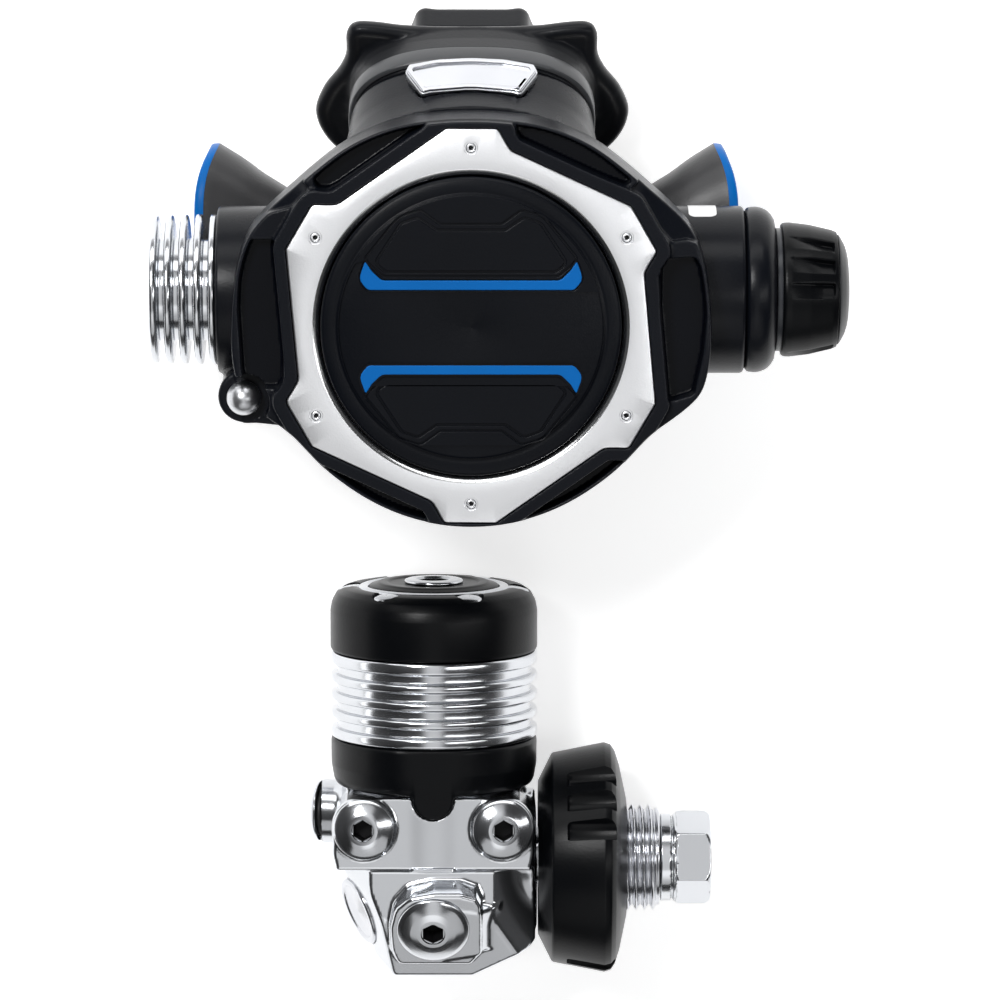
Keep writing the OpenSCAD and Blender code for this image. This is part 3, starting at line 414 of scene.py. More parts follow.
def nets(F, lo, h):
    """Naive surface nets: vertices and quads of the zero level of F on a grid."""
    ins = F < 0
    c = np.zeros(tuple(s - 1 for s in F.shape), np.int8)
    for i in (0, 1):
        for j in (0, 1):
            for k in (0, 1):
                c += ins[i:F.shape[0] - 1 + i, j:F.shape[1] - 1 + j, k:F.shape[2] - 1 + k]
    mixed = (c > 0) & (c < 8)
    idx = np.full(mixed.shape, -1, np.int64)
    cells = np.argwhere(mixed)
    idx[mixed] = np.arange(len(cells))
    acc = np.zeros((len(cells), 3)); num = np.zeros(len(cells))
    cor = [(i, j, k) for i in (0, 1) for j in (0, 1) for k in (0, 1)]
    for a in cor:
        for b in cor:
            if sum(abs(p - q) for p, q in zip(a, b)) == 1 and a < b:
                fa = F[cells[:, 0] + a[0], cells[:, 1] + a[1], cells[:, 2] + a[2]]
                fb = F[cells[:, 0] + b[0], cells[:, 1] + b[1], cells[:, 2] + b[2]]
                m = (fa < 0) != (fb < 0)
                t = np.where(m, fa / np.where(m, fa - fb, 1), 0)
                pa, pb = np.array(a, float), np.array(b, float)
                acc[m] += (pa + (pb - pa) * t[:, None])[m]
                num[m] += 1
    V = np.array(lo) + h * (cells + acc / num[:, None])
    quads = []
    for ax in range(3):
        o1, o2 = [d for d in range(3) if d != ax]
        sl0 = [slice(None)] * 3; sl1 = [slice(None)] * 3
        sl0[ax] = slice(0, F.shape[ax] - 1); sl1[ax] = slice(1, F.shape[ax])
        s0, s1 = ins[tuple(sl0)], ins[tuple(sl1)]
        e = np.argwhere(s0 != s1)
        e = e[(e[:, o1] > 0) & (e[:, o2] > 0) & (e[:, o1] < F.shape[o1] - 1) & (e[:, o2] < F.shape[o2] - 1)]
        first = s0[e[:, 0], e[:, 1], e[:, 2]]
        q = []
        for d1, d2 in ((-1, -1), (0, -1), (0, 0), (-1, 0)):
            cc = e.copy(); cc[:, o1] += d1; cc[:, o2] += d2
            q.append(idx[cc[:, 0], cc[:, 1], cc[:, 2]])
        q = np.stack(q, 1)
        flip = first if ax != 1 else ~first
        q[~flip] = q[~flip][:, ::-1]
        quads.append(q)
    Q = np.concatenate(quads)
    return V, Q[(Q >= 0).all(1)]


def solid(name, f, lo, hi, h, xf, body, mats, replaces=(), decimate=None, coarse=4, paint=None):
    """Mesh of the solid f(P) < 0, P in mm in the frame xf, sampled every h mm only near the surface."""
    lo = np.array(lo, float); hi = np.array(hi, float)
    H = h * coarse
    nb = np.ceil((hi - lo) / H).astype(int) + 1
    ax = [lo[i] + H * np.arange(nb[i]) for i in range(3)]
    G = np.stack(np.meshgrid(*[a + H / 2 for a in ax], indexing="ij"), -1).reshape(-1, 3)
    dc = f(G).reshape(nb)
    near = np.abs(dc) < H * 1.25
    n = nb * coarse + 1
    F = np.repeat(np.repeat(np.repeat(np.sign(dc) * 9.0, coarse, 0), coarse, 1), coarse, 2)
    F = np.pad(F, ((0, 1), (0, 1), (0, 1)), mode="edge")
    want = np.repeat(np.repeat(np.repeat(near, coarse, 0), coarse, 1), coarse, 2)
    want = np.pad(want, ((0, 1), (0, 1), (0, 1)), mode="edge")
    for a in range(3):        # a block's far faces belong to its neighbours too
        sh = np.roll(want, 1, a); sl = [slice(None)] * 3; sl[a] = 0; sh[tuple(sl)] = False
        want |= sh
    ii = np.argwhere(want)
    P = lo + h * ii
    vals = np.empty(len(P))
    for s in range(0, len(P), 400000):
        vals[s:s + 400000] = f(P[s:s + 400000])
    F[want] = vals
    F[F == 0] = 1e-6
    V, Q = nets(F, lo, h)
    eps = h * 0.2

    def grad(V):
        g = np.empty_like(V)
        for a in range(3):
            d = np.zeros(3); d[a] = eps
            g[:, a] = (f(V + d) - f(V - d)) / (2 * eps)
        return g
    for _ in range(3):
        g = grad(V); v = f(V)
        step = v / np.maximum((g * g).sum(1), 0.05)
        step = np.clip(step, -0.5 * h, 0.5 * h)
        V = V - g * step[:, None]
    if decimate:
        me = bpy.data.meshes.new("tmp_dec")
        me.from_pydata(V.tolist(), [], Q.tolist())
        ob = bpy.data.objects.new("tmp_dec", me)
        bpy.context.scene.collection.objects.link(ob)
        mod = ob.modifiers.new("d", "DECIMATE")
        mod.ratio = decimate
        dg = bpy.context.evaluated_depsgraph_get()
        me2 = bpy.data.meshes.new_from_object(ob.evaluated_get(dg))
        V = np.empty(len(me2.vertices) * 3); me2.vertices.foreach_get("co", V); V = V.reshape(-1, 3).astype(float)
        Q = [tuple(p.vertices) for p in me2.polygons]
        bpy.data.objects.remove(ob)
        bpy.data.meshes.remove(me); bpy.data.meshes.remove(me2)
        for _ in range(2):
            g = grad(V); v = f(V)
            step = np.clip(v / np.maximum((g * g).sum(1), 0.05), -0.3 * h, 0.3 * h)
            V = V - g * step[:, None]
    else:
        Q = Q.tolist()
    g = grad(V)
    nn = g / np.maximum(np.linalg.norm(g, axis=1), 1e-9)[:, None]
    A = np.array(xf.to_3x3(), float)
    T = np.array(xf.translation, float)
    W = (V @ A.T + T) * MM
    nn = nn @ A.T
    me = bpy.data.meshes.new(name)
    me.from_pydata(W.tolist(), [], Q)
    me.update()
    fn = np.zeros(len(me.polygons) * 3); me.polygons.foreach_get("normal", fn)
    first = np.array([q[0] for q in Q])
    agree = (fn.reshape(-1, 3) * nn[first]).sum(1)
    if np.median(agree) < 0:
        me.flip_normals()
    me.polygons.foreach_set("use_smooth", np.ones(len(me.polygons), bool))
    if paint:
        me.polygons.foreach_set("material_index", np.array([int(k) for k in paint(np.array([V[list(q)].mean(0) for q in Q]))], dtype=np.int32))
    me.normals_split_custom_set_from_vertices(nn.tolist())
    if len(W):
        print("solid", name, len(Q), "faces; off surface %.3f mm" % float(np.abs(f(V)).max()))
    return done(me, name, body, mats, replaces)


def from_bm(bm, name, xf, sharp=35.0):
    bm.transform(xf if xf is not None else Matrix.Identity(4))
    bm.transform(Matrix.Scale(MM, 4))
    for f in bm.faces:
        f.smooth = True
    lim = math.radians(sharp)
    for e in bm.edges:
        if len(e.link_faces) == 2 and e.calc_face_angle(0) > lim:
            e.smooth = False
    me = bpy.data.meshes.new(name)
    bm.to_mesh(me)
    bm.free()
    return me


def plate_bm(loops, z0, z1, bevel=0.2, res=2):
    """Flat plate with rounded edges, as a bmesh in millimetres; the first outline is the outside, the others are holes."""
    bm = bmesh.new()
    rims = ([], [])
    for k, lp in enumerate(loops):
        pts = [tuple(q[:2]) for q in lp]
        if sum(pts[i - 1][0] * pts[i][1] - pts[i][0] * pts[i - 1][1] for i in range(len(pts))) < 0:
            pts.reverse()
        side = -1 if k == 0 else 1
        half = [(math.sin(0.5 * math.pi * j / (res + 1)), math.cos(0.5 * math.pi * j / (res + 1))) for j in range(res + 2)]
        rows = [(bevel * (1 - a), z0 + bevel * (1 - b)) for a, b in half] + [(bevel * (1 - a), z1 - bevel * (1 - b)) for a, b in reversed(half)]
        rings = []
        for d, z in rows:
            rings.append([bm.verts.new((x, y, z)) for x, y in scaled_about(pts, side * d)])
        n = len(pts)
        for a, b in zip(rings[:-1], rings[1:]):
            for i in range(n):
                j = (i + 1) % n
                bm.faces.new((a[i], a[j], b[j], b[i]) if side < 0 else (a[j], a[i], b[i], b[j]))
        for rim, ring in zip(rims, (rings[0], rings[-1])):
            for i in range(n):
                e = bm.edges.get((ring[i], ring[(i + 1) % n]))
                e.smooth = False
                rim.append(e)
    for rim in rims:
        bmesh.ops.triangle_fill(bm, use_beauty=True, use_dissolve=False, edges=rim)
    bmesh.ops.recalc_face_normals(bm, faces=bm.faces)
    return bm


def plate(name, loops, z0, z1, bevel, xf, body, mats, replaces=(), res=2, sharp=35.0):
    return done(from_bm(plate_bm(loops, z0, z1, bevel, res), name, xf, sharp), name, body, mats, replaces)


def circle(r, n=128, c=(0, 0)):
    return [(c[0] + r * math.cos(2 * math.pi * i / n), c[1] + r * math.sin(2 * math.pi * i / n)) for i in range(n)]


def mirrored_y(pts):
    return [(x, -y) for x, y in reversed(pts)]


def loft_mesh(rings, closed_ends=True, closed_loop=False):
    """quads between rings of equally many points; optional fans at the two ends"""
    n = len(rings[0])
    verts = [p for r in rings for p in r]
    faces = []
    m = len(rings)
    for k in range(m if closed_loop else m - 1):
        a, b = k * n, ((k + 1) % m) * n
        for i in range(n):
            j = (i + 1) % n
            faces.append((a + i, a + j, b + j, b + i))
    if closed_ends and not closed_loop:
        faces.append(tuple(range(n - 1, -1, -1)))
        faces.append(tuple((m - 1) * n + i for i in range(n)))
    return verts, faces


def superellipse(n, a, b, e):
    out = []
    for i in range(n):
        t = 2 * math.pi * i / n
        c, s = math.cos(t), math.sin(t)
        k = (abs(c) ** e + abs(s) ** e) ** (-1.0 / e)
        out.append((a * k * c, b * k * s))
    return out


def smooth_table(rows, steps):
    """Catmull-Rom through rows of equally long tuples"""
    out = []
    P = [np.array(r, float) for r in rows]
    P = [2 * P[0] - P[1]] + P + [2 * P[-1] - P[-2]]
    for k in range(1, len(P) - 2):
        for s in range(steps):
            t = s / steps
            a, b, c, d = P[k - 1], P[k], P[k + 1], P[k + 2]
            out.append(0.5 * ((2 * b) + (c - a) * t + (2 * a - 5 * b + 4 * c - d) * t * t + (3 * b - a - 3 * c + d) * t ** 3))
    out.append(P[-2])
    return out


def boolean(ob, cutters, op="DIFFERENCE"):
    """Cuts the meshes of cutter objects out of ob and leaves a plain mesh."""
    for c in cutters:
        mod = ob.modifiers.new("cut", "BOOLEAN")
        mod.operation = op
        mod.solver = "EXACT"
        mod.object = c
    dg = bpy.context.evaluated_depsgraph_get()
    me = bpy.data.meshes.new_from_object(ob.evaluated_get(dg))
    ob.modifiers.clear()
    old = ob.data
    ob.data = me
    if old.users == 0:
        bpy.data.meshes.remove(old)
    for c in cutters:
        m = c.data
        bpy.data.objects.remove(c)
        if m.users == 0:
            bpy.data.meshes.remove(m)
    return ob


def cutter(verts, faces, xf):
    me = to_mesh(verts, faces, "tmp_cutter", xf, sharp=30)
    ob = bpy.data.objects.new("tmp_cutter", me)
    bpy.context.scene.collection.objects.link(ob)
    return ob


def cyl_cutter(r, z0, z1, xf, n=48, r1=None, rot=0.0):
    r1 = r if r1 is None else r1
    a = [(r * math.cos(rot + 2 * math.pi * i / n), r * math.sin(rot + 2 * math.pi * i / n), z0) for i in range(n)]
    b = [(r1 * math.cos(rot + 2 * math.pi * i / n), r1 * math.sin(rot + 2 * math.pi * i / n), z1) for i in range(n)]
    v, f = loft_mesh([a, b])
    return cutter(v, f, xf)


def resharpen(ob, angle=35.0):
    bm = bmesh.new()
    bm.from_mesh(ob.data)
    lim = math.radians(angle)
    for f in bm.faces:
        f.smooth = True
    for e in bm.edges:
        e.smooth = not (len(e.link_faces) == 2 and e.calc_face_angle(0) > lim)
    bm.to_mesh(ob.data)
    bm.free()
    return ob


# ================================================================== second stage
MOUTH_IN = Matrix.Translation((0, 27.4, 33.4)) @ Matrix.Rotation(math.radians(215), 4, "X")
PORT_IN = Matrix.Translation((0, PY, PZ)) @ Matrix.Rotation(math.pi / 2, 4, "Y")
NECK_V = -6.0

OUTLINE = [(-90, 42.5), (-60, 42.6), (-52, 42.7), (-45, 43), (-38, 43.2), (-31.5, 43.8), (-26, 46.1), (-20, 48.8), (-17, 50.2), (-8, 50.2), (0, 49.7), (8, 49.7),
           (14, 49.9), (21, 49.9), (26, 49), (31, 47.6), (38, 46.2), (46, 45.4), (57, 45), (70, 44.2), (80, 43.3), (90, 43)]


def outline_pts(k=1.0, step=1.5, inset=0.0):
    A = np.array([a for a, _ in OUTLINE], float)
    R = np.array([r for _, r in OUTLINE], float)
    fine = np.arange(-90, 90.01, 1.0)
    rr = np.interp(fine, A, R)
    ker = np.exp(-0.5 * (np.arange(-6, 7) / 2.2) ** 2); ker /= ker.sum()
    full = np.concatenate([rr[::-1][:-1], rr])          # from 90 back to -90 and up again: symmetric about the y axis
    pad = np.concatenate([full[-7:-1], full, full[1:7]])
    sm = np.convolve(pad, ker, "valid")[len(rr) - 1:][:len(rr)]
    pts = []
    a = -90.0
    while a < 270 - 1e-6:
        b = a if a <= 90 else 180 - a
        r = float(np.interp(b, fine, sm)) * k - inset
        pts.append((r * math.cos(math.radians(a)), r * math.sin(math.radians(a))))
        a += step
    return pts


def polar(r, a):
    return (r * math.cos(math.radians(a)), r * math.sin(math.radians(a)))


FACE = []
for n_ in range(6):
    t_ = 90 - 60 * n_
    FACE += [(*polar(41.15, t_ + 7.1), 1.0), (*polar(41.15, t_ - 7.9), 1.4), (*polar(38.9, t_ - 10.3), 0.8), (*polar(37.15, t_ - 12.7), 2.6)]
FACE_PTS = rounded(FACE, 1.0, 5)


def scaled_about(pts, d):
    """offset of a closed outline by d along its normals"""
    n = len(pts)
    out = []
    area = sum(pts[i - 1][0] * pts[i][1] - pts[i][0] * pts[i - 1][1] for i in range(n))
    s = 1 if area > 0 else -1
    for i in range(n):
        a, b, c = Vector(pts[i - 1][:2]), Vector(pts[i][:2]), Vector(pts[(i + 1) % n][:2])
        e1, e2 = (b - a), (c - b)
        if e1.length < 1e-9 or e2.length < 1e-9:
            out.append(tuple(b)); continue
        e1.normalize(); e2.normalize()
        n1 = Vector((e1.y, -e1.x)) * s
        n2 = Vector((e2.y, -e2.x)) * s
        m = n1 + n2
        m /= max(0.4, m.length_squared / 2)
        out.append((b.x + m.x * d, b.y + m.y * d))
    return out


# ---- face ring: satin plate with a polished bevel round the button
def build_face_ring():
    z1 = 70.3
    inner_bot = 31.2
    outer = FACE_PTS
    rings = []
    def ring(offset, z):
        rings.append([(p[0], p[1], z) for p in scaled_about(outer, offset)])
    ring(0, 67.02); ring(0, z1 - 0.42); ring(-0.07, z1 - 0.2); ring(-0.22, z1 - 0.06); ring(-0.42, z1)
    ang = [math.atan2(p[1], p[0]) for p in outer]
    def inner(r, z):
        rings.append([(r * math.cos(a), r * math.sin(a), z) for a in ang])
    inner(34.6, z1)
    inner(32.55, z1); inner(32.42, z1 - 0.03); inner(32.3, z1 - 0.10)
    inner(31.5, z1 - 0.62); inner(31.32, z1 - 0.82); inner(31.22, z1 - 1.1); inner(31.2, 67.02)
    # split the long outer edges and the inner circle finely
    v, f = [], []
    rings2 = []
    n = len(outer)
    for r in rings:
        rr = []
        for i in range(n):
            a, b = r[i], r[(i + 1) % n]
            k = SPLITS[i]
            for s in range(k):
                t = s / k
                p = (a[0] + (b[0] - a[0]) * t, a[1] + (b[1] - a[1]) * t, a[2])
                rr.append(p)
        rings2.append(rr)
    # inner rings must stay round
    for q, r in enumerate(rings2):
        R = math.hypot(rings[q][0][0], rings[q][0][1])
        if q >= 5:
            rings2[q] = [(R * math.cos(math.atan2(p[1], p[0])), R * math.sin(math.atan2(p[1], p[0])), p[2]) for p in r]
    v, f = loft_mesh(rings2, closed_loop=True)
    m = len(rings2[0])
    mi = []
    for k in range(len(rings2)):
        mi += [1 if 6 <= k <= 10 else 0] * m
    me = to_mesh(v, f, "face_ring_plate", SS, mi, sharp=40)
    ob = done(me, "face_ring_plate", "second_stage", ["plate", "bevel"], ("face_ring",))
    cs = []
    for k in range(6):
        x, y = polar(36.8, 30 + 60 * k)
        cs.append(cyl_cutter(1.06, 66, 71.5, SS @ Matrix.Translation((x, y, 0)), 32))
        cs.append(cyl_cutter(1.35, z1 - 0.18, z1 + 0.6, SS @ Matrix.Translation((x, y, 0)), 32, r1=1.75))
    boolean(ob, cs)
    resharpen(ob, 30)
    return ob


SPLITS = []
for i_ in range(len(FACE_PTS)):
    a_, b_ = FACE_PTS[i_], FACE_PTS[(i_ + 1) % len(FACE_PTS)]
    SPLITS.append(max(1, int(math.hypot(b_[0] - a_[0], b_[1] - a_[1]) / 1.1)))
build_face_ring()

# ---- the six screws of the face ring, each a domed head with a small round recess
def build_rivets():
    bm = bmesh.new()
    for k in range(6):
        x, y = polar(36.8, 30 + 60 * k)
        prof = [(0, 69.3), (0.44, 69.3), (0.48, 70.02), (0.54, 70.1), (0.66, 70.13), (0.8, 70.1), (0.93, 70.0), (0.99, 69.84), (1.0, 67.02), (0, 67.02)]
        n = 28
        rings = []
        for r, z in prof:
            if r == 0:
                rings.append([bm.verts.new((x, y, z))])
            else:
                rings.append([bm.verts.new((x + r * math.cos(2 * math.pi * i / n), y + r * math.sin(2 * math.pi * i / n), z)) for i in range(n)])
        for a, b in zip(rings[:-1], rings[1:]):
            for i in range(n):
                j = (i + 1) % n
                if len(a) == 1:
                    bm.faces.new((a[0], b[i], b[j]))
                elif len(b) == 1:
                    bm.faces.new((a[i], b[0], a[j]))
                else:
                    bm.faces.new((a[i], b[i], b[j], a[j]))
    bmesh.ops.recalc_face_normals(bm, faces=bm.faces)
    for f in bm.faces:
        # faces in each screw's recess take the second material: painted shade
        c = f.calc_center_median()
        if min(math.hypot(c.x - polar(36.8, 30 + 60 * k)[0], c.y - polar(36.8, 30 + 60 * k)[1]) for k in range(6)) < 0.45:
            f.material_index = 1
    done(from_bm(bm, "face_ring_screws", SS, 50), "face_ring_screws", "second_stage", ["plate", "socket"], ("face_ring_rivets",))


build_rivets()

# ---- purge button
STRIPE = rounded([(-21.1, 7.75, 1.3), (-23.0, 9.9, 2.2), (-21.62, 13.75, 0.25), (-20.35, 11.7, 1.6), (-18.3, 9.72, 1.6), (18.3, 9.72, 1.6), (20.35, 11.7, 1.6),
                  (21.62, 13.75, 0.25), (23.0, 9.9, 2.2), (21.1, 7.75, 1.3)], 1.0, 5)
PANEL_IN = rounded([(-19.4, 13.3, 1.0), (-14.2, 21.3, 1.6), (-10.9, 22.5, 1.2), (-7.1, 19.9, 1.0), (7.1, 19.9, 1.0), (10.9, 22.5, 1.2), (14.2, 21.3, 1.6),
                    (19.4, 13.3, 1.0), (17.3, 11.7, 1.2), (-17.3, 11.7, 1.2)], 1.0, 4)
PANEL_OUT = rounded([(-21.9, 14.3, 0.8), (-14.9, 23.0, 2.0), (-10.3, 24.4, 1.4), (-6.3, 21.5, 1.2), (6.3, 21.5, 1.2), (10.3, 24.4, 1.4), (14.9, 23.0, 2.0),
                     (21.9, 14.3, 0.8), (20.9, 12.9, 0.6), (17.9, 10.4, 1.2), (-17.9, 10.4, 1.2), (-20.9, 12.9, 0.6)], 1.0, 4)


def join_bm(parts):
    bm = bmesh.new()
    for b in parts:
        me = bpy.data.meshes.new("tmp_join")
        b.to_mesh(me)
        b.free()
        bm.from_mesh(me)
        bpy.data.meshes.remove(me)
    return bm


def lathe_bm(profile, n=128, radius=0.0, seg=3, xf=None):
    prof = rounded(profile, radius, seg, closed=True)
    bm = bmesh.new()
    rings = []
    for r, z in prof:
        if r < 1e-6:
            rings.append([bm.verts.new((0, 0, z))])
        else:
            rings.append([bm.verts.new((r * math.cos(2 * math.pi * i / n), r * math.sin(2 * math.pi * i / n), z)) for i in range(n)])
    for k in range(len(prof)):
        a, b = rings[k], rings[(k + 1) % len(prof)]
        if len(a) == 1 and len(b) == 1:
            continue
        for i in range(n):
            j = (i + 1) % n
            if len(a) == 1:
                bm.faces.new((a[0], b[i], b[j]))
            elif len(b) == 1:
                bm.faces.new((a[i], b[0], a[j]))
            else:
                bm.faces.new((a[i], b[i], b[j], a[j]))
    bmesh.ops.recalc_face_normals(bm, faces=bm.faces)
    if xf is not None:
        bm.transform(xf)
    return bm


def build_purge():
    base = lathe_bm([(0, 71.0), (27.3, 71.0, 0.1), (27.75, 70.72, 0.3), (28.3, 70.86, 0.4), (30.3, 70.72, 0.5), (30.88, 70.3, 0.4), (30.9, 64.45, 0.1), (33, 64.4, 0.3), (33, 63.0, 0.3), (28, 63.0, 0.2),
                     (28, 68.8, 0.6), (5, 68.8, 0.6), (5, 63.4, 0.2), (0, 63.4)], 160, 0.2, 3)
    top, bot = PANEL_OUT, mirrored_y(PANEL_OUT)
    frame_ = plate_bm([circle(27.25, 160), top, bot, scaled_about(STRIPE, 0.22), scaled_about(mirrored_y(STRIPE), 0.22)], 70.85, 71.4, 0.16, 2)
    ridge = []
    for pts in (PANEL_OUT, mirrored_y(PANEL_OUT)):
        inner = PANEL_IN if pts is PANEL_OUT else mirrored_y(PANEL_IN)
        ridge.append(plate_bm([scaled_about(pts, -0.34), scaled_about(inner, 0.42)], 70.85, 71.28, 0.14, 2))
        ridge.append(plate_bm([inner], 70.85, 71.4, 0.18, 2))
    bm = join_bm([base, frame_] + ridge)
    done(from_bm(bm, "purge_button_disc", SS, 40), "purge_button_disc", "purge", "purge", ("purge_button",))
    done(from_bm(join_bm([plate_bm([STRIPE], 70.72, 71.46, 0.2, 3), plate_bm([mirrored_y(STRIPE)], 70.72, 71.46, 0.2, 3)]), "purge_button_stripes", SS, 40),
         "purge_button_stripes", "purge", "blue", ("purge_stripes",))


build_purge()

# ---- front bumper
P_TR = rounded([(9.75, 43.3, 0.6), (13.1, 43.0, 2.0), (18.4, 41.2, 6.0), (24.5, 37.5, 6.0), (29.3, 33.2, 5.0), (32.4, 29.7, 0.9), (31.4, 29.35, 0.9), (28.4, 30.5, 2.0), (11.2, 37.9, 1.6), (9.75, 39.1, 0.8)], 1, 4)
P_TL = rounded([(-8.6, 43.35, 0.6), (-10.0, 41.2, 2.5), (-13.0, 39.5, 2.5), (-27.6, 29.3, 1.6), (-29.4, 28.45, 0.9), (-31.2, 28.6, 0.9), (-32.0, 29.9, 0.9), (-30.4, 32.0, 5.0), (-23.4, 38.2, 8.0), (-16.0, 42.0, 6.0), (-11, 43.35, 3)], 1, 4)
P_BL = rounded([(-33.6, -23.9, 0.8), (-27.0, -27.0, 1.5), (-18.4, -31.2, 2.0), (-9.6, -35.2, 2.0), (-7.3, -37.0, 1.0), (-6.4, -39.6, 0.6), (-8.0, -40.9, 0.8), (-18.6, -37.0, 8.0), (-26.2, -32.4, 8.0), (-32.6, -26.2, 3.0)], 1, 4)
P_BR = rounded([(5.6, -39.7, 0.6), (13.2, -34.4, 1.0), (22.2, -28.6, 1.5), (28.6, -25.2, 1.5), (31.4, -25.4, 1.0), (32.6, -26.6, 1.0), (26.4, -32.3, 8.0), (18.5, -37.5, 8.0), (7.9, -41.0, 2.0)], 1, 4)
P_R = rounded([(39.43, 11.79, 1.0), (40.33, 13.3, 0.8), (45.8, 13.7, 1.2), (47.2, 10.87, 3), (48.12, 3.53, 8), (47.3, -5.67, 8), (45.5, -14.0, 1.2), (40.9, -15.4, 0.8), (39.2, -4.0, 4)], 1, 4)
P_L = rounded([(-45.8, 17.3, 1.2), (-40.6, 17.3, 0.8), (-40.16, 14.55, 1.5), (-39.1, -5.65, 4), (-39.2, -12.6, 0.9), (-44.45, -12.6, 1.0), (-46.7, -10.25, 2.0), (-47.52, 3.55, 8), (-47.0, 12.7, 3)], 1, 4)
VALLEY_R = rounded([(32.6, 27.9, 0.5), (36.5, 32, 1), (52, 26, 1), (54, 17.0, 1), (47.4, 16.6, 1.0), (44.2, 17.6, 1.0), (41.2, 17.3, 0.8), (38.0, 21, 1)], 0.5, 3)
VALLEY_L = rounded([(-33.2, 28.2, 0.5), (-36.5, 32, 1), (-52, 27, 1), (-55, 16.4, 1), (-47.9, 16.4, 1.0), (-46.2, 19.5, 1.5), (-43.5, 21.9, 1.5), (-41.9, 23.1, 1.0), (-36.9, 24.5, 1)], 0.5, 3)
POCKETS = ((P_TR, 64.2), (P_TL, 64.2), (P_BL, 64.0), (P_BR, 64.0), (P_R, 63.8), (P_L, 63.8))
WEB = rounded([(-47.1, -21.55, 0.1), (-37, -22.6, 1), (-36, -12, 1), (-44, -11, 1)], 0.5, 3)
OUT_PTS = outline_pts(1.0)


def pocket2(x, y, dO, dF, pts):
    return np.maximum(np.maximum(poly2(x, y, pts) - 0.45, 2.75 - dF), dO + 1.25)


def f_bumper(P):
    x, y, z = P[:, 0], P[:, 1], P[:, 2]
    r = length(x, y)
    dO = poly2(x, y, OUT_PTS)
    dF = poly2(x, y, FACE_PTS)
    # the outer wall leans in a little towards the top
    lean_in = np.interp(z, [54, 60, 67.8], [0.0, 0.08, 0.55])
    body = extrude(dO + lean_in, z, 54.05, 67.9, 0.5)
    lip = extrude(np.maximum(dF - 2.85, dO + 0.9), z, 58, 70.45, 0.4)
    d = smin(body, lip, 0.9)
    lug = sd_cyl(P - np.array((-47.1, -16.2, 0)), 5.45, 54.05, 58.45, 0.7)
    web = extrude(poly2(x, y, WEB), z, 54.05, 58.42, 0.6)
    d = smin(d, smin(lug, web, 1.0), 0.8)
    for pts in (VALLEY_R, VALLEY_L):
        floor = 66.6 - 0.62 * np.maximum(dF - 2.85, 0)
        d = smax(d, -smax(np.maximum(poly2(x, y, pts), 2.85 - dF), floor - z, 0.4), 0.5)
    for pts, floor in POCKETS:
        dp = pocket2(x, y, dO, dF, pts)
        taper = (z - floor) * 0.07
        d = smax(d, -(extrude(dp + 0.25 - taper, z, floor, 80, 0.4)), 0.35)
    # inside
    inner = np.minimum.reduce([sd_cyl(P, 38.15, 50, 58.6, 0.2), sd_cyl(P, 34.0, 55, 64.6, 0.2), sd_cyl(P, 31.45, 60, 80, 0.1)])
    d = np.maximum(d, -inner)
    d = smax(d, -extrude(dF - 0.12, z, 66.99, 80, 0.15), 0.25)
    # saddle over the two ports
    q = length(y - PY, z - PZ) - 17.6
    saddle = np.maximum(q, 41.3 - r)
    d = smax(d, -saddle, 0.4)
    d = np.maximum(d, -sd_cyl(P - np.array((-47.1, -16.2, 0)), 2.3, 50, 80))
    d = np.maximum(d, -sd_cyl(P - np.array((-47.1, -16.2, 0)), 5.61, 58.5, 80, 0.3))
    return d


# faces inside the pockets take the second, darker material: painted shade in the recesses
def pocket_shade_faces(C):
    x, y, z = C[:, 0], C[:, 1], C[:, 2]
    dO = poly2(x, y, OUT_PTS)
    dF = poly2(x, y, FACE_PTS)
    hit = np.zeros(len(C), bool)
    for pts, floor in POCKETS:
        hit |= pocket2(x, y, dO, dF, pts) < -0.25
    return (hit & (z > 62) & (z < 67.6)).astype(int)


# darker than the bumper black: painted shade for the recessed pockets
M["pocket"] = material("pocket_painted_shade", (0.0018, 0.0024, 0.0045), spec=0.12, rough=0.26, bump=0.08, bump_scale=1800, vary=0.12)
solid("front_bumper_shell", f_bumper, (-53.5, -43, 53.4), (51, 46.5, 71.6), 0.46, SS, "second_stage", ["bumper", "pocket"], ("front_bumper",), paint=pocket_shade_faces)


# ---- case with the neck of the mouthpiece
BADGE_IN = Matrix.Translation((0, 48.8, 44.38)) @ Matrix.Rotation(math.radians(-51.5), 4, "X")
SHIELD = rounded([(10.2, -5.6, 0.7), (13.8, 1, 1.0), (13.2, 3, 0.8), (7, 4.6, 5), (0, 5.1, 12), (-7, 4.6, 5), (-13.2, 3, 0.8), (-13.8, 1, 1.0), (-10.2, -5.6, 0.7), (-8.6, -5.0, 0.6), (0, -4.0, 10), (8.6, -5.0, 0.6)], 1, 4)
BOWL = scaled_about([(-60, 26), (29, 26), (33, 28.5), (37, 36), (39, 42), (41.3, 47.5), (41.3, 53.95), (-60, 53.95)], -0.9)
BOWL_IN = [(-60, 28.5), (27, 28.5), (30.5, 31), (34, 38), (35, 43), (35, 70), (-60, 70)]


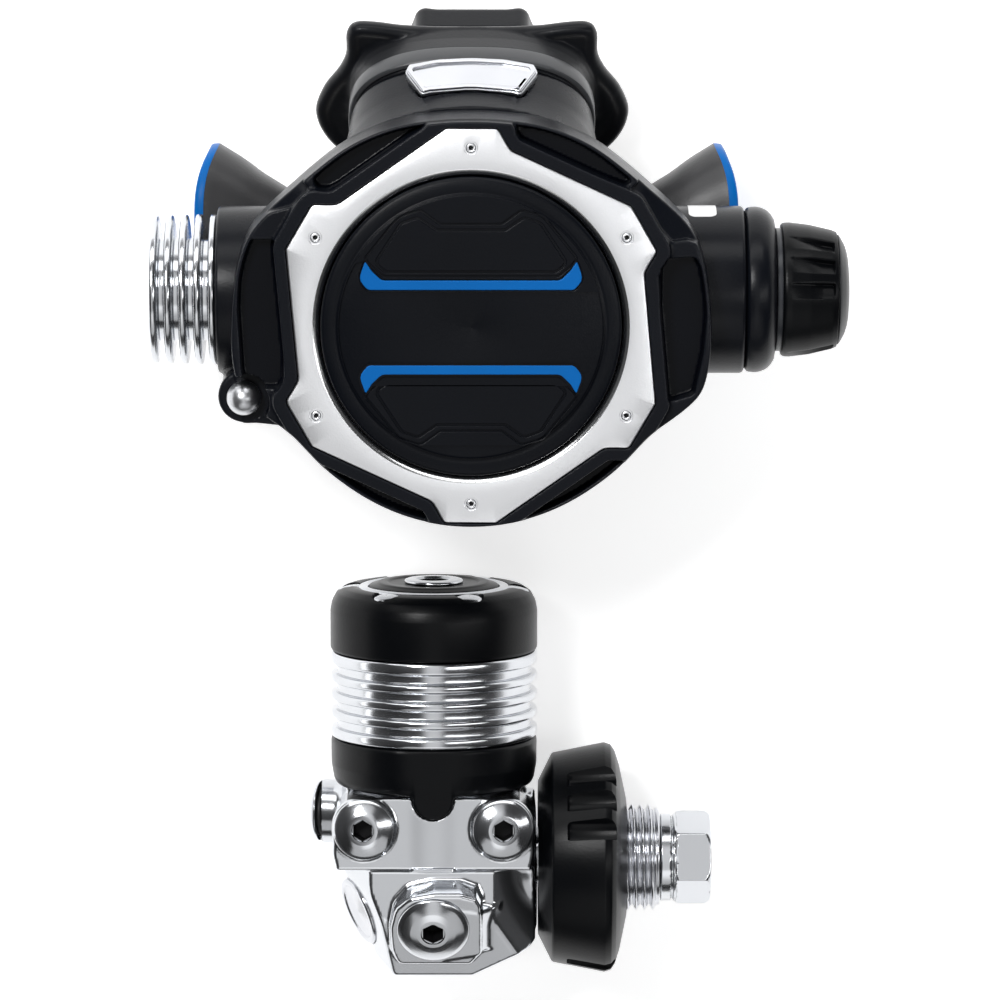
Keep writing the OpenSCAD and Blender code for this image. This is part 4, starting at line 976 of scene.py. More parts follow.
def f_case(P):
    x, y, z = P[:, 0], P[:, 1], P[:, 2]
    r = length(x, y)
    bowl = poly2(r, z, BOWL) - 0.9
    q = length(y - PY, z - PZ)
    port = np.maximum(q - 17.42, np.maximum(-52.9 - x, x - 56.5))
    port = smax(port, -(np.maximum(r - 41.3, 53.95 - z)), 0.4)
    m = local(P, MOUTH_IN)
    mx, mv, ms = m[:, 0], m[:, 1], m[:, 2]
    t = np.clip((ms + 16) / 24.0, 0, 1)
    a = 27.6 - 2.1 * t
    b = 18.4 - 1.4 * t
    neck = oval2(mx, mv - NECK_V, a, b, 2.5)
    neck = smax(neck, np.maximum(ms - 7.9, -18.5 - ms), 1.0)
    neck = smax(neck, z - 53.95, 0.6)
    d = smin(bowl, port, 3.0)
    d = smin(d, neck, 7.0)
    d = smax(d, z - 53.95, 0.3) if False else d
    spig = np.maximum(stadium2(mx, mv - NECK_V, 44, 28), np.maximum(ms - 15, 2 - ms))
    d = np.minimum(d, spig)
    boss = sd_cyl(P - np.array((-47.1, -16.2, 0)), 5.35, 42, 53.95, 0.8)
    web = sd_box(P - np.array((-40.5, -14.2, 48.4)), (6.5, 3.6, 5.3), 0.8)
    d = smin(d, smin(boss, web, 1.5), 1.5)
    # the top face is flat under the bumper
    top = np.where(r < 46.0, z - 53.95, -9.0)
    d = np.maximum(d, np.where(q < 17.7, np.where(r < 41.3, z - 53.95, -9.0), z - 53.95))
    cuts = poly2(r, z, BOWL_IN)
    cuts = np.minimum(cuts, sd_cyl(P, 38.0, 52.95, 70))
    pl = local(P, PORT_IN)
    cuts = np.minimum.reduce([cuts, sd_cyl(pl, 13.05, -60, -45.4), sd_cyl(pl, 6.25, -50, 50), sd_cyl(pl, 9.06, 43.5, 60)])
    cuts = np.minimum(cuts, np.maximum(stadium2(mx, mv - NECK_V, 38.4, 22.4), np.maximum(ms - 20, -5 - ms)))
    vy = y + 7
    cuts = np.minimum(cuts, np.maximum(length(x, vy) - 1.6, np.maximum(z - 32, 24 - z)))
    cuts = np.minimum(cuts, np.maximum(length(x, vy) - 17.0, np.maximum(z - 25.99, 10 - z)))
    for k in range(6):
        ang = math.radians(30 + 60 * k)
        cuts = np.minimum(cuts, np.maximum(length(x - 8.2 * math.cos(ang), vy - 8.2 * math.sin(ang)) - 3.4, np.maximum(z - 32, 24 - z)))
    cuts = np.minimum(cuts, sd_cyl(P - np.array((-47.1, -16.2, 0)), 2.06, 43.9, 70))
    bd = local(P, BADGE_IN)
    cuts = np.minimum(cuts, np.maximum(poly2(bd[:, 0], bd[:, 1], SHIELD) - 0.12, np.maximum(-1.6 - bd[:, 2], bd[:, 2] - 8)))
    return smax(d, -cuts, 0.35)


solid("case_shell", f_case, (-55, -44, 12.5), (58.5, 55.5, 62.5), 0.7, SS, "second_stage", "case", ("second_stage_case",), decimate=0.42)


def tube(name, prof, body, mats, replaces=(), n=128, radius=0.0, seg=4, sharp=35.0, xf=None, mat_of=None, wave=None):
    return lathe(name, prof, xf if xf is not None else PORT, body, mats, n, radius, seg, replaces, sharp, mat_of, wave)


tube("case_port_inlet", [(17.5, -53.0, 0.7), (17.5, -41.5, 0.1), (15.5, -41.5, 0.1), (15.5, -52.2, 0.1), (13.4, -52.2, 0.1), (13.4, -53.0, 0.5)], "second_stage", "case", ("second_stage_case",), 144)
tube("case_port_knob", [(17.5, 41.5, 0.1), (17.5, 56.6, 1.3), (16.4, 57.0, 0.3), (12.6, 57.0, 0.2), (12.6, 55.8, 0.1), (15.5, 55.8, 0.1), (15.5, 41.5, 0.1)], "second_stage", "case", ("second_stage_case",), 144)

# ---- cooling rings and hose inlet
def build_fins():
    prof = [(9.65, -67.1, 0.2), (10.9, -67.1, 0.25)]
    for k in range(5):
        x0 = -66.95 + k * 3.06
        R = 15.75 + 0.05 * k
        prof += [(10.7, x0 - 0.02, 0.25), (R - 1.3, x0 + 0.02, 0.35), (R - 0.28, x0 + 0.16, 0.55), (R, x0 + 0.85, 0.9), (R - 0.28, x0 + 1.54, 0.55), (R - 1.3, x0 + 1.68, 0.35), (10.7, x0 + 1.74, 0.3)]
    prof[2] = (10.9, -66.9, 0.1)
    prof += [(10.7, -53.02, 0.2), (12.95, -53.02, 0.2), (12.95, -45.6, 0.3), (6.05, -45.6, 0.2), (6.05, -62.0, 0.2), (9.65, -62.0, 0.2)]
    tube("inlet_cooling_rings", prof, "second_stage", "chrome", ("heat_exchanger",), 160, 0.2, 5, 50)


build_fins()


def thread(name, R, depth, pitch, z0, z1, bore, xf, body, mats, replaces=(), n=96, extra=(), per=12, turn0=0.0, lead=0.8):
    """Male thread with a helical ridge; extra is a closed rest-of-profile list of (r, z) joined at both ends."""
    rows = int(round((z1 - z0) / pitch * per))
    verts, faces, rings = [], [], []
    shape = []
    for k in range(rows + 1):
        z = z0 + (z1 - z0) * k / rows
        ring = []
        for i in range(n):
            t = i / n
            ph = ((z - z0) / pitch - t - turn0) % 1.0
            h = abs(ph - 0.5) * 2                     # 0 at the crest, 1 at the root
            h = min(1.0, max(0.0, (h - 0.14) / 0.72))
            h = h * h * (3 - 2 * h) * 0.35 + h * 0.65
            fade = min(1.0, (z - z0) / lead, (z1 - z) / lead)
            fade = max(0.0, fade)
            r = R - depth * (h * fade + (1 - fade))
            ring.append((r * math.cos(2 * math.pi * t), r * math.sin(2 * math.pi * t), z))
        rings.append(ring)
    for r, z in extra:
        rings.append([(r * math.cos(2 * math.pi * i / n), r * math.sin(2 * math.pi * i / n), z) for i in range(n)])
    v, f = loft_mesh(rings, closed_loop=True)
    me = to_mesh(v, f, name, xf, sharp=50)
    return done(me, name, body, mats, replaces)


thread("inlet_thread", 7.14, 0.78, 1.411, -67.05, -61.9, 2.7, PORT, "second_stage", "chrome2", ("inlet_fitting",), 96,
       [(5.9, -61.8), (5.9, -45.75), (2.7, -45.75), (2.7, -66.6), (3.1, -67.05)])

# ---- bezel, knob, end cap
tube("knob_bezel", [(9.35, 56.7, 0.1), (12.4, 56.7, 0.1), (12.4, 57.05, 0.05), (16.3, 57.05, 0.35), (17.15, 57.5, 0.8), (17.4, 59.2, 2.4), (17.1, 60.9, 2.6), (16.2, 62.3, 2.2), (14.7, 63.25, 1.0),
                   (13.2, 63.3, 0.2), (9.35, 63.3, 0.1)], "second_stage", "case", ("knob_ring",), 144, 0.2, 5, 45)


def build_knob():
    n = 360
    def prof(x):
        return float(np.interp(x, [64.7, 65.0, 65.4, 66.45, 70.45, 73.4, 75.2, 76.1, 76.3, 76.38], [13.6, 13.9, 14.04, 14.08, 13.6, 12.92, 12.5, 12.14, 12.02, 11.8]))
    X = [64.7, 64.85, 65.0, 65.2, 65.4] + [65.7 + 0.3 * k for k in range(33)] + [75.5, 75.62, 75.8, 76.0, 76.1, 76.2, 76.3, 76.38]
    rings = []
    for x in X:
        R = prof(x)
        ring = []
        u = min(1.0, max(0.0, (x - 65.9) / 7.0)) * min(1.0, max(0.0, (75.55 - x) / 0.25))
        for i in range(n):
            a = 360.0 * i / n
            cut = 0.0
            for g in range(3):
                for k in (-1, 0, 1):
                    da = (a - (150.5 + 120 * g + 23 * k) + 180) % 360 - 180 + 6.6
                    if 0 <= da <= 14.0:              # a steep wall, then a floor that rises back to the surface
                        s = da / 14.0
                        cut = max(cut, min(1.0, s / 0.09) * (1 - s) ** 0.85)
            ring.append(((R - 1.5 * u * cut) * math.cos(math.radians(a)), (R - 1.5 * u * cut) * math.sin(math.radians(a)), x))
        rings.append(ring)
    for r, x in ((11.6, 76.38), (2.0, 76.3), (2.0, 64.7)):
        rings.append([(r * math.cos(2 * math.pi * i / n), r * math.sin(2 * math.pi * i / n), x) for i in range(n)])
    v, f = loft_mesh(rings, closed_loop=True)
    done(to_mesh(v, f, "knob_grip", PORT, sharp=32), "knob_grip", "knob", "rubber", ("adjusting_knob",))
    tube("knob_collar", [(2.0, 64.75, 0), (12.9, 64.75, 0.1), (12.9, 63.5, 0.25), (9.0, 63.5, 0.1), (9.0, 51.6, 0.2), (7.95, 51.6, 0.1), (7.95, 49.9, 0.1), (9.0, 49.9, 0.2), (9.0, 43.65, 0.3), (2.0, 43.65, 0.1)],
         "knob", "collar", ("adjusting_knob",), 128, 0.2, 4)
    tube("knob_cap", [(0, 78.96), (4.0, 78.94, 6), (7.4, 78.62, 5), (9.4, 78.0, 3), (11.0, 77.1, 1.6), (11.85, 76.45, 0.25), (0, 76.42)], "knob", "capgrey", ("knob_end_cap",), 144, 0.3, 6, 40)


M["collar"] = material("knob_collar_grey", (0.030, 0.033, 0.040), spec=0.4, rough=0.30, bump=0.08, vary=0.06)
M["capgrey"] = material("knob_cap_grey", (0.010, 0.011, 0.014), spec=0.25, rough=0.36, bump=0.12, bump_scale=1800, vary=0.08)
build_knob()

# ---- lock pin: ball on a stem in the round lug
def build_pin():
    prof = [(0, 44.1)] + [(2.0, 44.1), (2.0, 58.62), (2.6, 58.62)]
    for k in range(0, 25):
        a = -40 + 130 * k / 24
        prof.append((3.6 * math.cos(math.radians(a)) if k < 24 else 0.0, 60.2 + 3.6 * math.sin(math.radians(a))))
    lathe("cover_lock_ball", prof, SS @ Matrix.Translation((-47.1, -16.2, 0)), "second_stage", "pin", 64, 0.0, 1, ("cover_lock_pin",), 60)


M["pin"] = material("satin_pin", (0.60, 0.61, 0.63), rough=0.33, metallic=1.0, vary=0.04, bump=0.12, bump_scale=1400)
build_pin()


# ---- badge plate on the neck: plain, with a raised border
def build_badge():
    a = plate_bm([SHIELD], -1.5, 0.55, 0.2, 2)
    b = plate_bm([scaled_about(SHIELD, -0.25), scaled_about(SHIELD, -1.35)], 0.3, 1.12, 0.22, 2)
    done(from_bm(join_bm([a, b]), "neck_badge", SS @ BADGE_IN, 40), "neck_badge", "second_stage", "chrome2", ("top_badge",))


build_badge()


# ---- index mark: a white block let into the knob-side port
def build_mark():
    prof = []
    n = 24
    rows = []
    a0, a1 = MARK_A
    outline = rounded([(45.3, a0, 0.3), (51.0, a0, 0.3), (51.0, a1, 1.5), (49.9, a1 + 0.0, 0.2), (46.4, a1, 0.2), (45.3, a1, 1.5)], 0.3, 4)
    outline = rounded([(45.2, a0, 0.25), (51.05, a0, 0.25), (51.05, a1, 1.5), (45.2, a1, 1.5)], 0.3, 5)
    bm = plate_bm([outline], 0, 0.5, 0.1, 2)
    # bend the flat block round the port
    bmesh.ops.subdivide_edges(bm, edges=[e for e in bm.edges if e.calc_length() > 1.0], cuts=3, use_grid_fill=True)
    bmesh.ops.triangulate(bm, faces=[f for f in bm.faces if len(f.verts) > 4])
    for v in bm.verts:
        x, s, h = v.co
        phi = s / 17.5
        R = 17.12 + h
        v.co = (x, PY + R * math.sin(phi), PZ + R * math.cos(phi))
    done(from_bm(bm, "port_index_mark", SS, 50), "port_index_mark", "second_stage", "white", ("index_mark",))


MARK_A = (17.5 * math.radians(110), 17.5 * math.radians(67))
build_mark()

# ---- exhaust tee
TEE = [(0, -5, 12.7, 20, 12.7), (16, -4.6, 12.8, 19.4, 12.4), (24, -1, 13.0, 16.6, 11.4), (32, 4.4, 13.3, 13.8, 10.7), (40, 9.8, 13.4, 13.4, 10.9), (48, 14, 13.4, 14, 11.9), (55.8, 16.2, 13.2, 15.5, 12.9)]
TEE_X = -1.2
TEE_WALL = 2.2


def tee_rows():
    full = [(-r[0], *r[1:]) for r in reversed(TEE[1:])] + TEE
    return smooth_table(full, 5)


def build_tee():
    rows = tee_rows()
    n = 112
    rings = []
    def bow(x, p, hy):           # the outlets' ends bow outwards in the middle
        w = min(1.0, max(0.0, (abs(x) - 44.0) / 11.8))
        return -math.copysign(3.0 * w * abs(p / hy) ** 3, x)
    for r in rows:
        x, yc, zc, hy, hz = r
        rings.append([(TEE_X + x + bow(x, p, hy), yc + p, zc + q) for p, q in superellipse(n, hy, hz, 2.5)])
    for r in reversed(rows):
        x, yc, zc, hy, hz = r
        rings.append([(TEE_X + x + bow(x, p, hy - TEE_WALL), yc + p, zc + q) for p, q in superellipse(n, hy - TEE_WALL, hz - TEE_WALL, 2.5)])
    v, f = loft_mesh(rings, closed_loop=True)
    me = to_mesh(v, f, "exhaust_tee_shell", SS, sharp=40)
    ob = done(me, "exhaust_tee_shell", "second_stage", "tee", ("exhaust_tee",))
    vent = SS @ Matrix.Translation((0, -7, 0))
    boolean(ob, [cyl_cutter(14.6, 14.0, 30.0, vent, 72)])
    ring = lathe_bm([(14.5, 20.0, 0.2), (16.5, 20.0, 0.2), (16.5, 25.98, 0.5), (14.5, 25.98, 0.3)], 96, 0.2, 3, Matrix.Translation((0, -7, 0)))
    ring.transform(SS)
    ring.transform(Matrix.Scale(MM, 4))
    bm = bmesh.new()
    bm.from_mesh(ob.data)
    tmp = bpy.data.meshes.new("tmp_ring")
    ring.to_mesh(tmp); ring.free()
    bm.from_mesh(tmp)
    bpy.data.meshes.remove(tmp)
    bm.to_mesh(ob.data)
    bm.free()
    resharpen(ob, 40)
    # the blue rims on both outlets
    parts = []
    for side in (1, -1):
        r = rows[-1]
        _, yc, zc, hy, hz = r
        prof = [(0.04, 0.0), (0.5, -0.02), (1.3, 0.06), (1.72, 0.24), (1.93, 0.6), (2.0, 1.05), (1.93, 1.5), (1.72, 1.9), (1.3, 2.13), (0.5, 2.2), (0.04, 2.2)]
        rr = []
        for dx, ins in prof:
            rr.append([(TEE_X + side * (55.8 + dx - 3.0 * abs(p / (hy - ins)) ** 3), yc + p, zc + q) for p, q in superellipse(n, hy - ins, hz - ins, 2.5)])
        vv, ff = loft_mesh(rr, closed_loop=True)
        b = bmesh.new()
        vs = [b.verts.new(p) for p in vv]
        for q in ff:
            b.faces.new([vs[i] for i in q])
        bmesh.ops.recalc_face_normals(b, faces=b.faces)
        parts.append(b)
    done(from_bm(join_bm(parts), "exhaust_tee_rims", SS, 40), "exhaust_tee_rims", "second_stage", "blue", ("exhaust_tee_trims",))


build_tee()

# ---- mouthpiece and its clamp
FLANGE_H = [(0, -20.3), (12, -20.8), (20.5, -21.9), (24.6, -21.7), (26.3, -19.4), (26.5, -14), (28.2, -9.4), (31.2, -4.6), (33.0, 0.2), (33.2, 3.4), (32.2, 7.2), (29.6, 11.4), (25, 15.2), (18, 17.7), (9, 18.7), (0, 18.8)]


def closed_spline(half, steps=5):
    full = half + [(-x, y) for x, y in reversed(half[1:-1])]
    n = len(full)
    out = []
    for k in range(n):
        a, b, c, d = (np.array(full[(k + j - 1) % n], float) for j in range(4))
        for s in range(steps):
            t = s / steps
            out.append(tuple(0.5 * ((2 * b) + (c - a) * t + (2 * a - 5 * b + 4 * c - d) * t * t + (3 * b - a - 3 * c + d) * t ** 3)))
    return out


FLANGE_PTS = closed_spline(FLANGE_H, 4)


def f_mouth(P):
    x, v, s = P[:, 0], P[:, 1], P[:, 2]
    a = np.interp(s, [8.6, 15, 18.5, 21.6], [24.9, 24.7, 25.2, 26.2])
    b = np.interp(s, [8.6, 15, 18.5, 21.6], [16.9, 16.5, 16.3, 16.8])
    c = np.interp(s, [8.6, 15, 18.5, 21.6], [-6, -6, -5.5, -4.6])
    sleeve = oval2(x, v - c, a, b, 2.5)
    sleeve = smax(sleeve, np.maximum(8.65 - s, s - 23), 0.8)
    bend = s - 0.0028 * np.maximum(np.abs(x) - 10, 0) ** 2 * 0.6
    dFl = poly2(x, v, FLANGE_PTS)
    fl = extrude(dFl, bend, 21.7, 24.4, 1.2)
    bead = length(dFl + 1.25, bend - 22.1) - 1.2
    d = smin(smin(sleeve, fl, 1.6), bead, 0.9)
    ax = np.abs(x)
    Pm = np.stack([ax, v, s], 1)
    stem = sd_box(Pm - np.array((19.6, 0.4, 28.0)), (7.0, 2.6, 6.0), 1.6)
    knobp = sd_box(Pm - np.array((20.0, 0.9, 36.2)), (6.6, 3.2, 1.75), 1.4)
    pads = smin(stem, knobp, 2.5)
    d = smin(d, pads, 2.4)
    bridge = sd_box(Pm - np.array((0.0, -12.4, 34.0)), (11.0, 1.9, 3.9), 1.4)
    leg = sd_box(local(Pm, Matrix.Translation((12.6, -7.0, 34.0)) @ Matrix.Rotation(math.radians(-23), 4, "Z")), (1.6, 6.8, 3.9), 1.3)
    d = smin(d, smin(bridge, leg, 2.5), 1.5)
    d = smax(d, -(np.maximum(stadium2(x, v + 6, 44.1, 28.1), s - 15.2)), 0.3)
    d = smax(d, -(stadium2(x, v + 6, 33, 17) + np.where(s > 29, 60, 0)), 1.2)
    return d


solid("mouthpiece_body", f_mouth, (-35, -24.5, 8), (35, 20.5, 38.6), 0.62, SS @ MOUTH_IN, "second_stage", "mouth", ("mouthpiece",), decimate=0.6)


def build_clamp():
    n = 120
    prof = [(8.95, 0.95), (8.98, 0.45), (9.2, 0.12), (9.6, 0.0), (12.7, 0.0), (13.05, 0.1), (13.2, 0.45), (13.2, 0.95)]
    rings = []
    for s, ins in prof:
        rings.append([(p, q + NECK_V, s) for p, q in superellipse(n, 26 - ins, 18 - ins, 2.55)])
    v, f = loft_mesh(rings, closed_loop=True)
    done(to_mesh(v, f, "mouthpiece_clamp_band", SS @ MOUTH_IN, sharp=40), "mouthpiece_clamp_band", "second_stage", "clamp", ("mouthpiece_clamp",))


M["clamp"] = material("clamp_grey", (0.05, 0.052, 0.056), rough=0.33, bump=0.1, vary=0.08)
build_clamp()


# ================================================================== first stage
LP = [(-13.0, 9.7, -5, 20.5, 6.66), (13.1, 9.7, 5, 20.5, 6.66), (0.0, 9.3, -102, 25.0, 7.06), (0.0, 9.3, -170, 23.4, 6.9)]     # x, height, angle, reach, boss radius
HP_Z, HP_REACH = -2.65, 22.6
SIDE = [(-20.5, 2.5), (-20.5, 1.0), (-14.6, -15.6), (-12.6, -20.6), (-8.8, -23.6), (8.3, -23.6), (20.4, -17.4), (22, -15.4), (22, 2.5)]
PLAN = [(-22, 0), (-21, -6), (-13.6, -18.7), (13, -18.7), (22, -12.5), (22, 12.5), (13, 18.7), (-13.6, 18.7), (-21, 6)]
PAD = rounded([(-9, -6, 1.5), (-9.2, 0, 3), (-8.2, 4.6, 2), (-5.2, 7.6, 2), (0, 8.7, 4), (6, 8.7, 2), (9.2, 7.6, 1), (10.2, 5.5, 1), (10.2, -6.8, 1), (8, -9.5, 1), (-7.5, -9.5, 1.5)], 1, 3)
PAD2 = [(2, 5.6), (14.1, 3.2), (14.1, -6), (2, -8.4)]


SLAB = rounded([(-20.6, 0.6, 0.5), (20.8, 0.6, 0.5), (21.5, 4.0, 3), (21.5, 16.4, 6.6), (-21.4, 16.4, 6.6), (-21.4, 4.0, 3)], 1, 6)


def lp_in(k):
    x, z, a = LP[k][:3]
    return Matrix.Translation((x, 0, z)) @ Matrix.Rotation(math.radians(a), 4, "Z") @ Matrix.Rotation(math.pi / 2, 4, "X")


def hp_in(a):
    return Matrix.Translation((0, 0, HP_Z)) @ Matrix.Rotation(math.radians(a), 4, "Z") @ Matrix.Rotation(math.radians(114), 4, "X")


def rad_in(a, z):
    return Matrix.Translation((0, 0, z)) @ Matrix.Rotation(math.radians(a), 4, "Z") @ Matrix.Rotation(math.pi / 2, 4, "X")


DIN_IN = Matrix.Rotation(math.pi / 2, 4, "Y")
BADGE_F = [Matrix.Rotation(math.radians(22 * s), 4, "Z") @ Matrix.Translation((-17.4, 0, -10.6)) @ Matrix.Rotation(math.radians(-109.5), 4, "Y") for s in (1, -1)]


def f_body(P):
    x, y, z = P[:, 0], P[:, 1], P[:, 2]
    drum = sd_cyl(P, 19.6, 0.75, 18.0, 0.8)
    side = poly2(x, z, scaled_about(SIDE, -0.7)) - 0.7
    plan = poly2(x, y, scaled_about(PLAN, -1.0)) - 1.0
    blk = smax(side, smax(plan, z - 1.6, 0.8), 0.7)
    HPL = [local(P, hp_in(a)) for a in (0, 180)]
    for h in HPL:
        blk = smax(blk, h[:, 2] - 20.3, 0.7)
    for B in BADGE_F:
        blk = smax(blk, local(P, B)[:, 2], 0.8)
    d = smin(drum, blk, 0.7)
    # raised pads round the two lower ports
    for h, m in zip(HPL, (1, -1)):
        hx, hy, hz = h[:, 0] * m, h[:, 1], h[:, 2]
        p1 = smax(poly2(hx, hy, PAD), hz - 22.56, 1.0)
        p2 = smax(poly2(hx, hy, PAD2), (hz - 22.5 + np.maximum(hx - 9.9, 0) * 1.01) / 1.35, 0.8)
        pan = np.maximum(smin(p1, p2, 0.5), 9.0 - hz)
        for B in BADGE_F:
            pan = smax(pan, local(P, B)[:, 2], 0.8)
        d = smin(d, pan, 1.0)
    for k, (_, _, _, reach, rb) in enumerate(LP):
        d = smin(d, sd_cyl(local(P, lp_in(k)), rb, 9, reach - 0.04, 0.5), 1.1 if k < 2 else 2.2)
    slab = poly2(x, z, SLAB)
    slab = smax(slab, np.maximum(-19.62 - y, y + 5), 0.9)
    d = smin(d, slab, 0.9)
    L_ = local(P, DIN_IN)
    d = smin(d, sd_cyl(L_, 14.9, 4, 21.75, 0.7), 1.6)
    d = smax(d, z - 16.36, 0.6)
    d = smax(d, -sd_box(P - np.array((0.0, -19.9, 0.75)), (4.6, 1.2, 0.34), 0.2), 0.25)
    d = np.minimum(d, sd_cyl(P, 17.9, 10, 23.95, 0.3))
    # bores
    cuts = np.minimum.reduce([sd_cyl(P, 14.5, 20.1, 30), sd_cyl(P, 9.0, 12, 30), sd_cyl(P, 5.05, -19, 20)])
    for k, (_, _, _, reach, rb) in enumerate(LP):
        L_ = local(P, lp_in(k))
        cuts = np.minimum(cuts, sd_cyl(L_, 4.25, reach - 10, 30))
        if k < 3:
            cuts = np.minimum(cuts, sd_cyl(L_, 5.8, reach - 1.2, 30))
    for a in (-50, 50, -102, -170):
        cuts = np.minimum(cuts, sd_cyl(local(P, rad_in(a, 9.5)), 1.6, 0, 18))
    for L_ in HPL:
        cuts = np.minimum.reduce([cuts, sd_cyl(L_, 4.95, 12.6, 30), sd_cyl(L_, 1.6, 0, 14), sd_cyl(L_, 6.6, 21.4, 30)])
    L_ = local(P, DIN_IN)
    cuts = np.minimum.reduce([cuts, sd_cyl(L_, 8.05, 14, 30), sd_cyl(L_, 3.0, 0, 15)])
    cuts = np.minimum(cuts, sd_cyl(local(P, Matrix.Translation((0, -16.6, 16.05)) @ Matrix.Rotation(math.pi / 2, 4, "X")), 4.5, 0, 7))
    cuts = np.minimum(cuts, sd_cyl(local(P, BADGE_F[0]), 7.62, -1.0, 9))
    return smax(d, -cuts, 0.35)


solid("first_stage_block", f_body, (-24.5, -25.8, -24.2), (24.5, 25.8, 24.6), 0.48, FS, "first_stage", "chrome", ("first_stage_body",))


def ftube(name, prof, body, mats, replaces=(), n=128, radius=0.2, seg=4, sharp=35.0, xf=None, mat_of=None):
    return lathe(name, prof, xf if xf is not None else FS, body, mats, n, radius, seg, replaces, sharp, mat_of)


# ---- ribbed spring housing
def build_housing():
    prof = [(17.05, 24.15, 0.1), (17.95, 24.15, 0.1), (17.95, 16.95, 0.1), (19.85, 16.95, 0.1), (19.85, 26.95, 0.1), (22.28, 26.95, 0.8)]
    for k in range(4):
        z = 29.3 + 3.85 * k
        prof += [(22.28, z, 0.85), (20.9, z + 0.14, 0.25), (20.9, z + 1.86, 0.25), (22.28, z + 2.0, 0.85)]
    prof += [(22.26, 45.56, 0.8), (19.85, 45.58, 0.1), (19.8, 54.0, 0.2), (14.45, 54.0, 0.2), (14.45, 52.0, 0.1), (17.05, 52.0, 0.1)]
    ftube("ribbed_spring_housing", prof, "first_stage", "chrome", ("spring_housing",), 192, 0.2, 4, 60)


build_housing()


# ---- rubber sleeve with its round tab
def f_sleeve(P):
    x, y, z = P[:, 0], P[:, 1], P[:, 2]
    r = length(x, y)
    ro = np.interp(z, [16.5, 18.0, 21.0, 27], [20.95, 21.6, 22.12, 22.18])
    d = smax(r - ro, np.maximum(16.55 - z, z - 26.8), 0.9)
    tab = sd_cyl(local(P, Matrix.Translation((0, -18, 16.05)) @ Matrix.Rotation(math.pi / 2, 4, "X")), 4.35, 0, 3.3, 0.6)
    tab2 = sd_box(P - np.array((0, -19.7, 18.9)), (4.35, 1.6, 2.8), 0.6)
    d = smin(d, smin(tab, tab2, 0.4), 0.8)
    flat = np.maximum(-21.05 - y, 0) * 0 + (-(y + 21.05))
    d = smax(d, np.where(np.abs(x) < 30, flat, -9), 0.8)
    return np.maximum(d, -(r - 19.95) if False else 19.95 - r)


solid("lower_rubber_sleeve", f_sleeve, (-23, -23, 9), (23, 23, 27.6), 0.5, FS, "first_stage", "rubber", ("lower_sleeve",))


def paint_socket_shade(ob, xf, r, z0, z1):
    """the faces inside a socket take the object's second material, a painted shade"""
    inv = (Matrix.Scale(MM, 4) @ xf).inverted()
    for f in ob.data.polygons:
        c = inv @ f.center
        if math.hypot(c.x, c.y) < r and z0 < c.z < z1:
            f.material_index = 1


# ---- rubber cap with scallops, ring, seal and adjusting screw
def build_cap():
    prof = [(19.92, 45.72, 0.1), (22.0, 45.72, 0.35), (22.28, 46.3, 0.5), (22.28, 54.2, 1.5), (21.9, 56.2, 1.5), (20.95, 58.0, 1.3), (19.3, 59.1, 1.2), (17.6, 59.42, 0.8), (16.5, 59.32, 0.3), (16.4, 59.0, 0.1),
            (16.4, 57.6, 0.2), (18.9, 57.45, 0.2), (19.92, 56.4, 0.2)]
    ob = ftube("rubber_cap", prof, "first_stage", "rubber", ("top_bumper",), 192, 0.2, 5, 50)
    cs = []
    for k in range(6):
        a = math.radians(60 * k - 4)
        cs.append(cyl_cutter(3.16, 56.1, 62, FS @ Matrix.Translation((17.4 * math.cos(a), 17.4 * math.sin(a), 0)), 48, r1=3.3))
    boolean(ob, cs)
    resharpen(ob, 38)
    ftube("cap_chrome_ring", [(18.65, 54.1, 0.1), (18.65, 57.25, 0.2), (16.25, 57.3, 0.1), (16.2, 59.35, 0.5), (14.9, 59.62, 0.4), (14.12, 59.3, 0.4), (14.1, 56.25, 0.05), (12.0, 56.15, 0.1), (12.0, 54.1, 0.1)], "first_stage", "chrome", ("top_ring",), 128)
    lobes = []
    for k in range(6):
        a = math.radians(60 * k - 4)
        lobes.append(lathe_bm([(0, 56.1), (3.0, 56.1, 0.1), (3.0, 58.85, 0.55), (1.4, 59.2, 1.2), (0, 59.22)], 40, 0.2, 4, Matrix.Translation((17.4 * math.cos(a), 17.4 * math.sin(a), 0)) @ Matrix.Rotation(a, 4, "Z") @ Matrix.Translation((0, 0, 57.0)) @ Matrix.Rotation(math.radians(7), 4, "Y") @ Matrix.Translation((0, 0, -57.0))))
    done(from_bm(join_bm(lobes), "cap_chrome_lobes", FS, 40), "cap_chrome_lobes", "first_stage", "chrome", ("top_ring",))
    ftube("ambient_seal_disc", [(5.45, 56.35, 0.1), (13.95, 56.35, 0.2), (13.95, 59.55, 0.5), (12.3, 59.95, 0.3), (11.7, 60.26, 0.25), (10.1, 60.26, 0.25), (9.5, 59.94, 0.3), (6.9, 59.96, 0.3), (5.45, 59.98, 0.1)], "first_stage", "rubber",
          ("ambient_seal",), 128)
    ob = ftube("adjusting_screw_head", [(0, 47.65), (14.25, 47.65, 0.3), (14.25, 51.55, 0.3), (5.2, 51.6, 0.3), (5.2, 60.08, 0.05), (6.35, 60.1, 0.15), (6.3, 60.6, 0.35), (5.6, 60.84, 0.5), (0, 60.84)], "first_stage", ["chrome", "socket"], ("adjusting_screw",), 96)
    cs = [cyl_cutter(3.4, 55.5, 62, FS, 6), cyl_cutter(3.45, 60.45, 61.2, FS, 48, r1=4.3)]
    for k in range(4):
        a = math.radians(90 * k)
        cs.append(cyl_cutter(1.8, 46, 53, FS @ Matrix.Translation((9.5 * math.cos(a), 9.5 * math.sin(a), 0)), 24))
    boolean(ob, cs)
    resharpen(ob, 30)
    paint_socket_shade(ob, FS, 3.45, 55.0, 60.4)


build_cap()


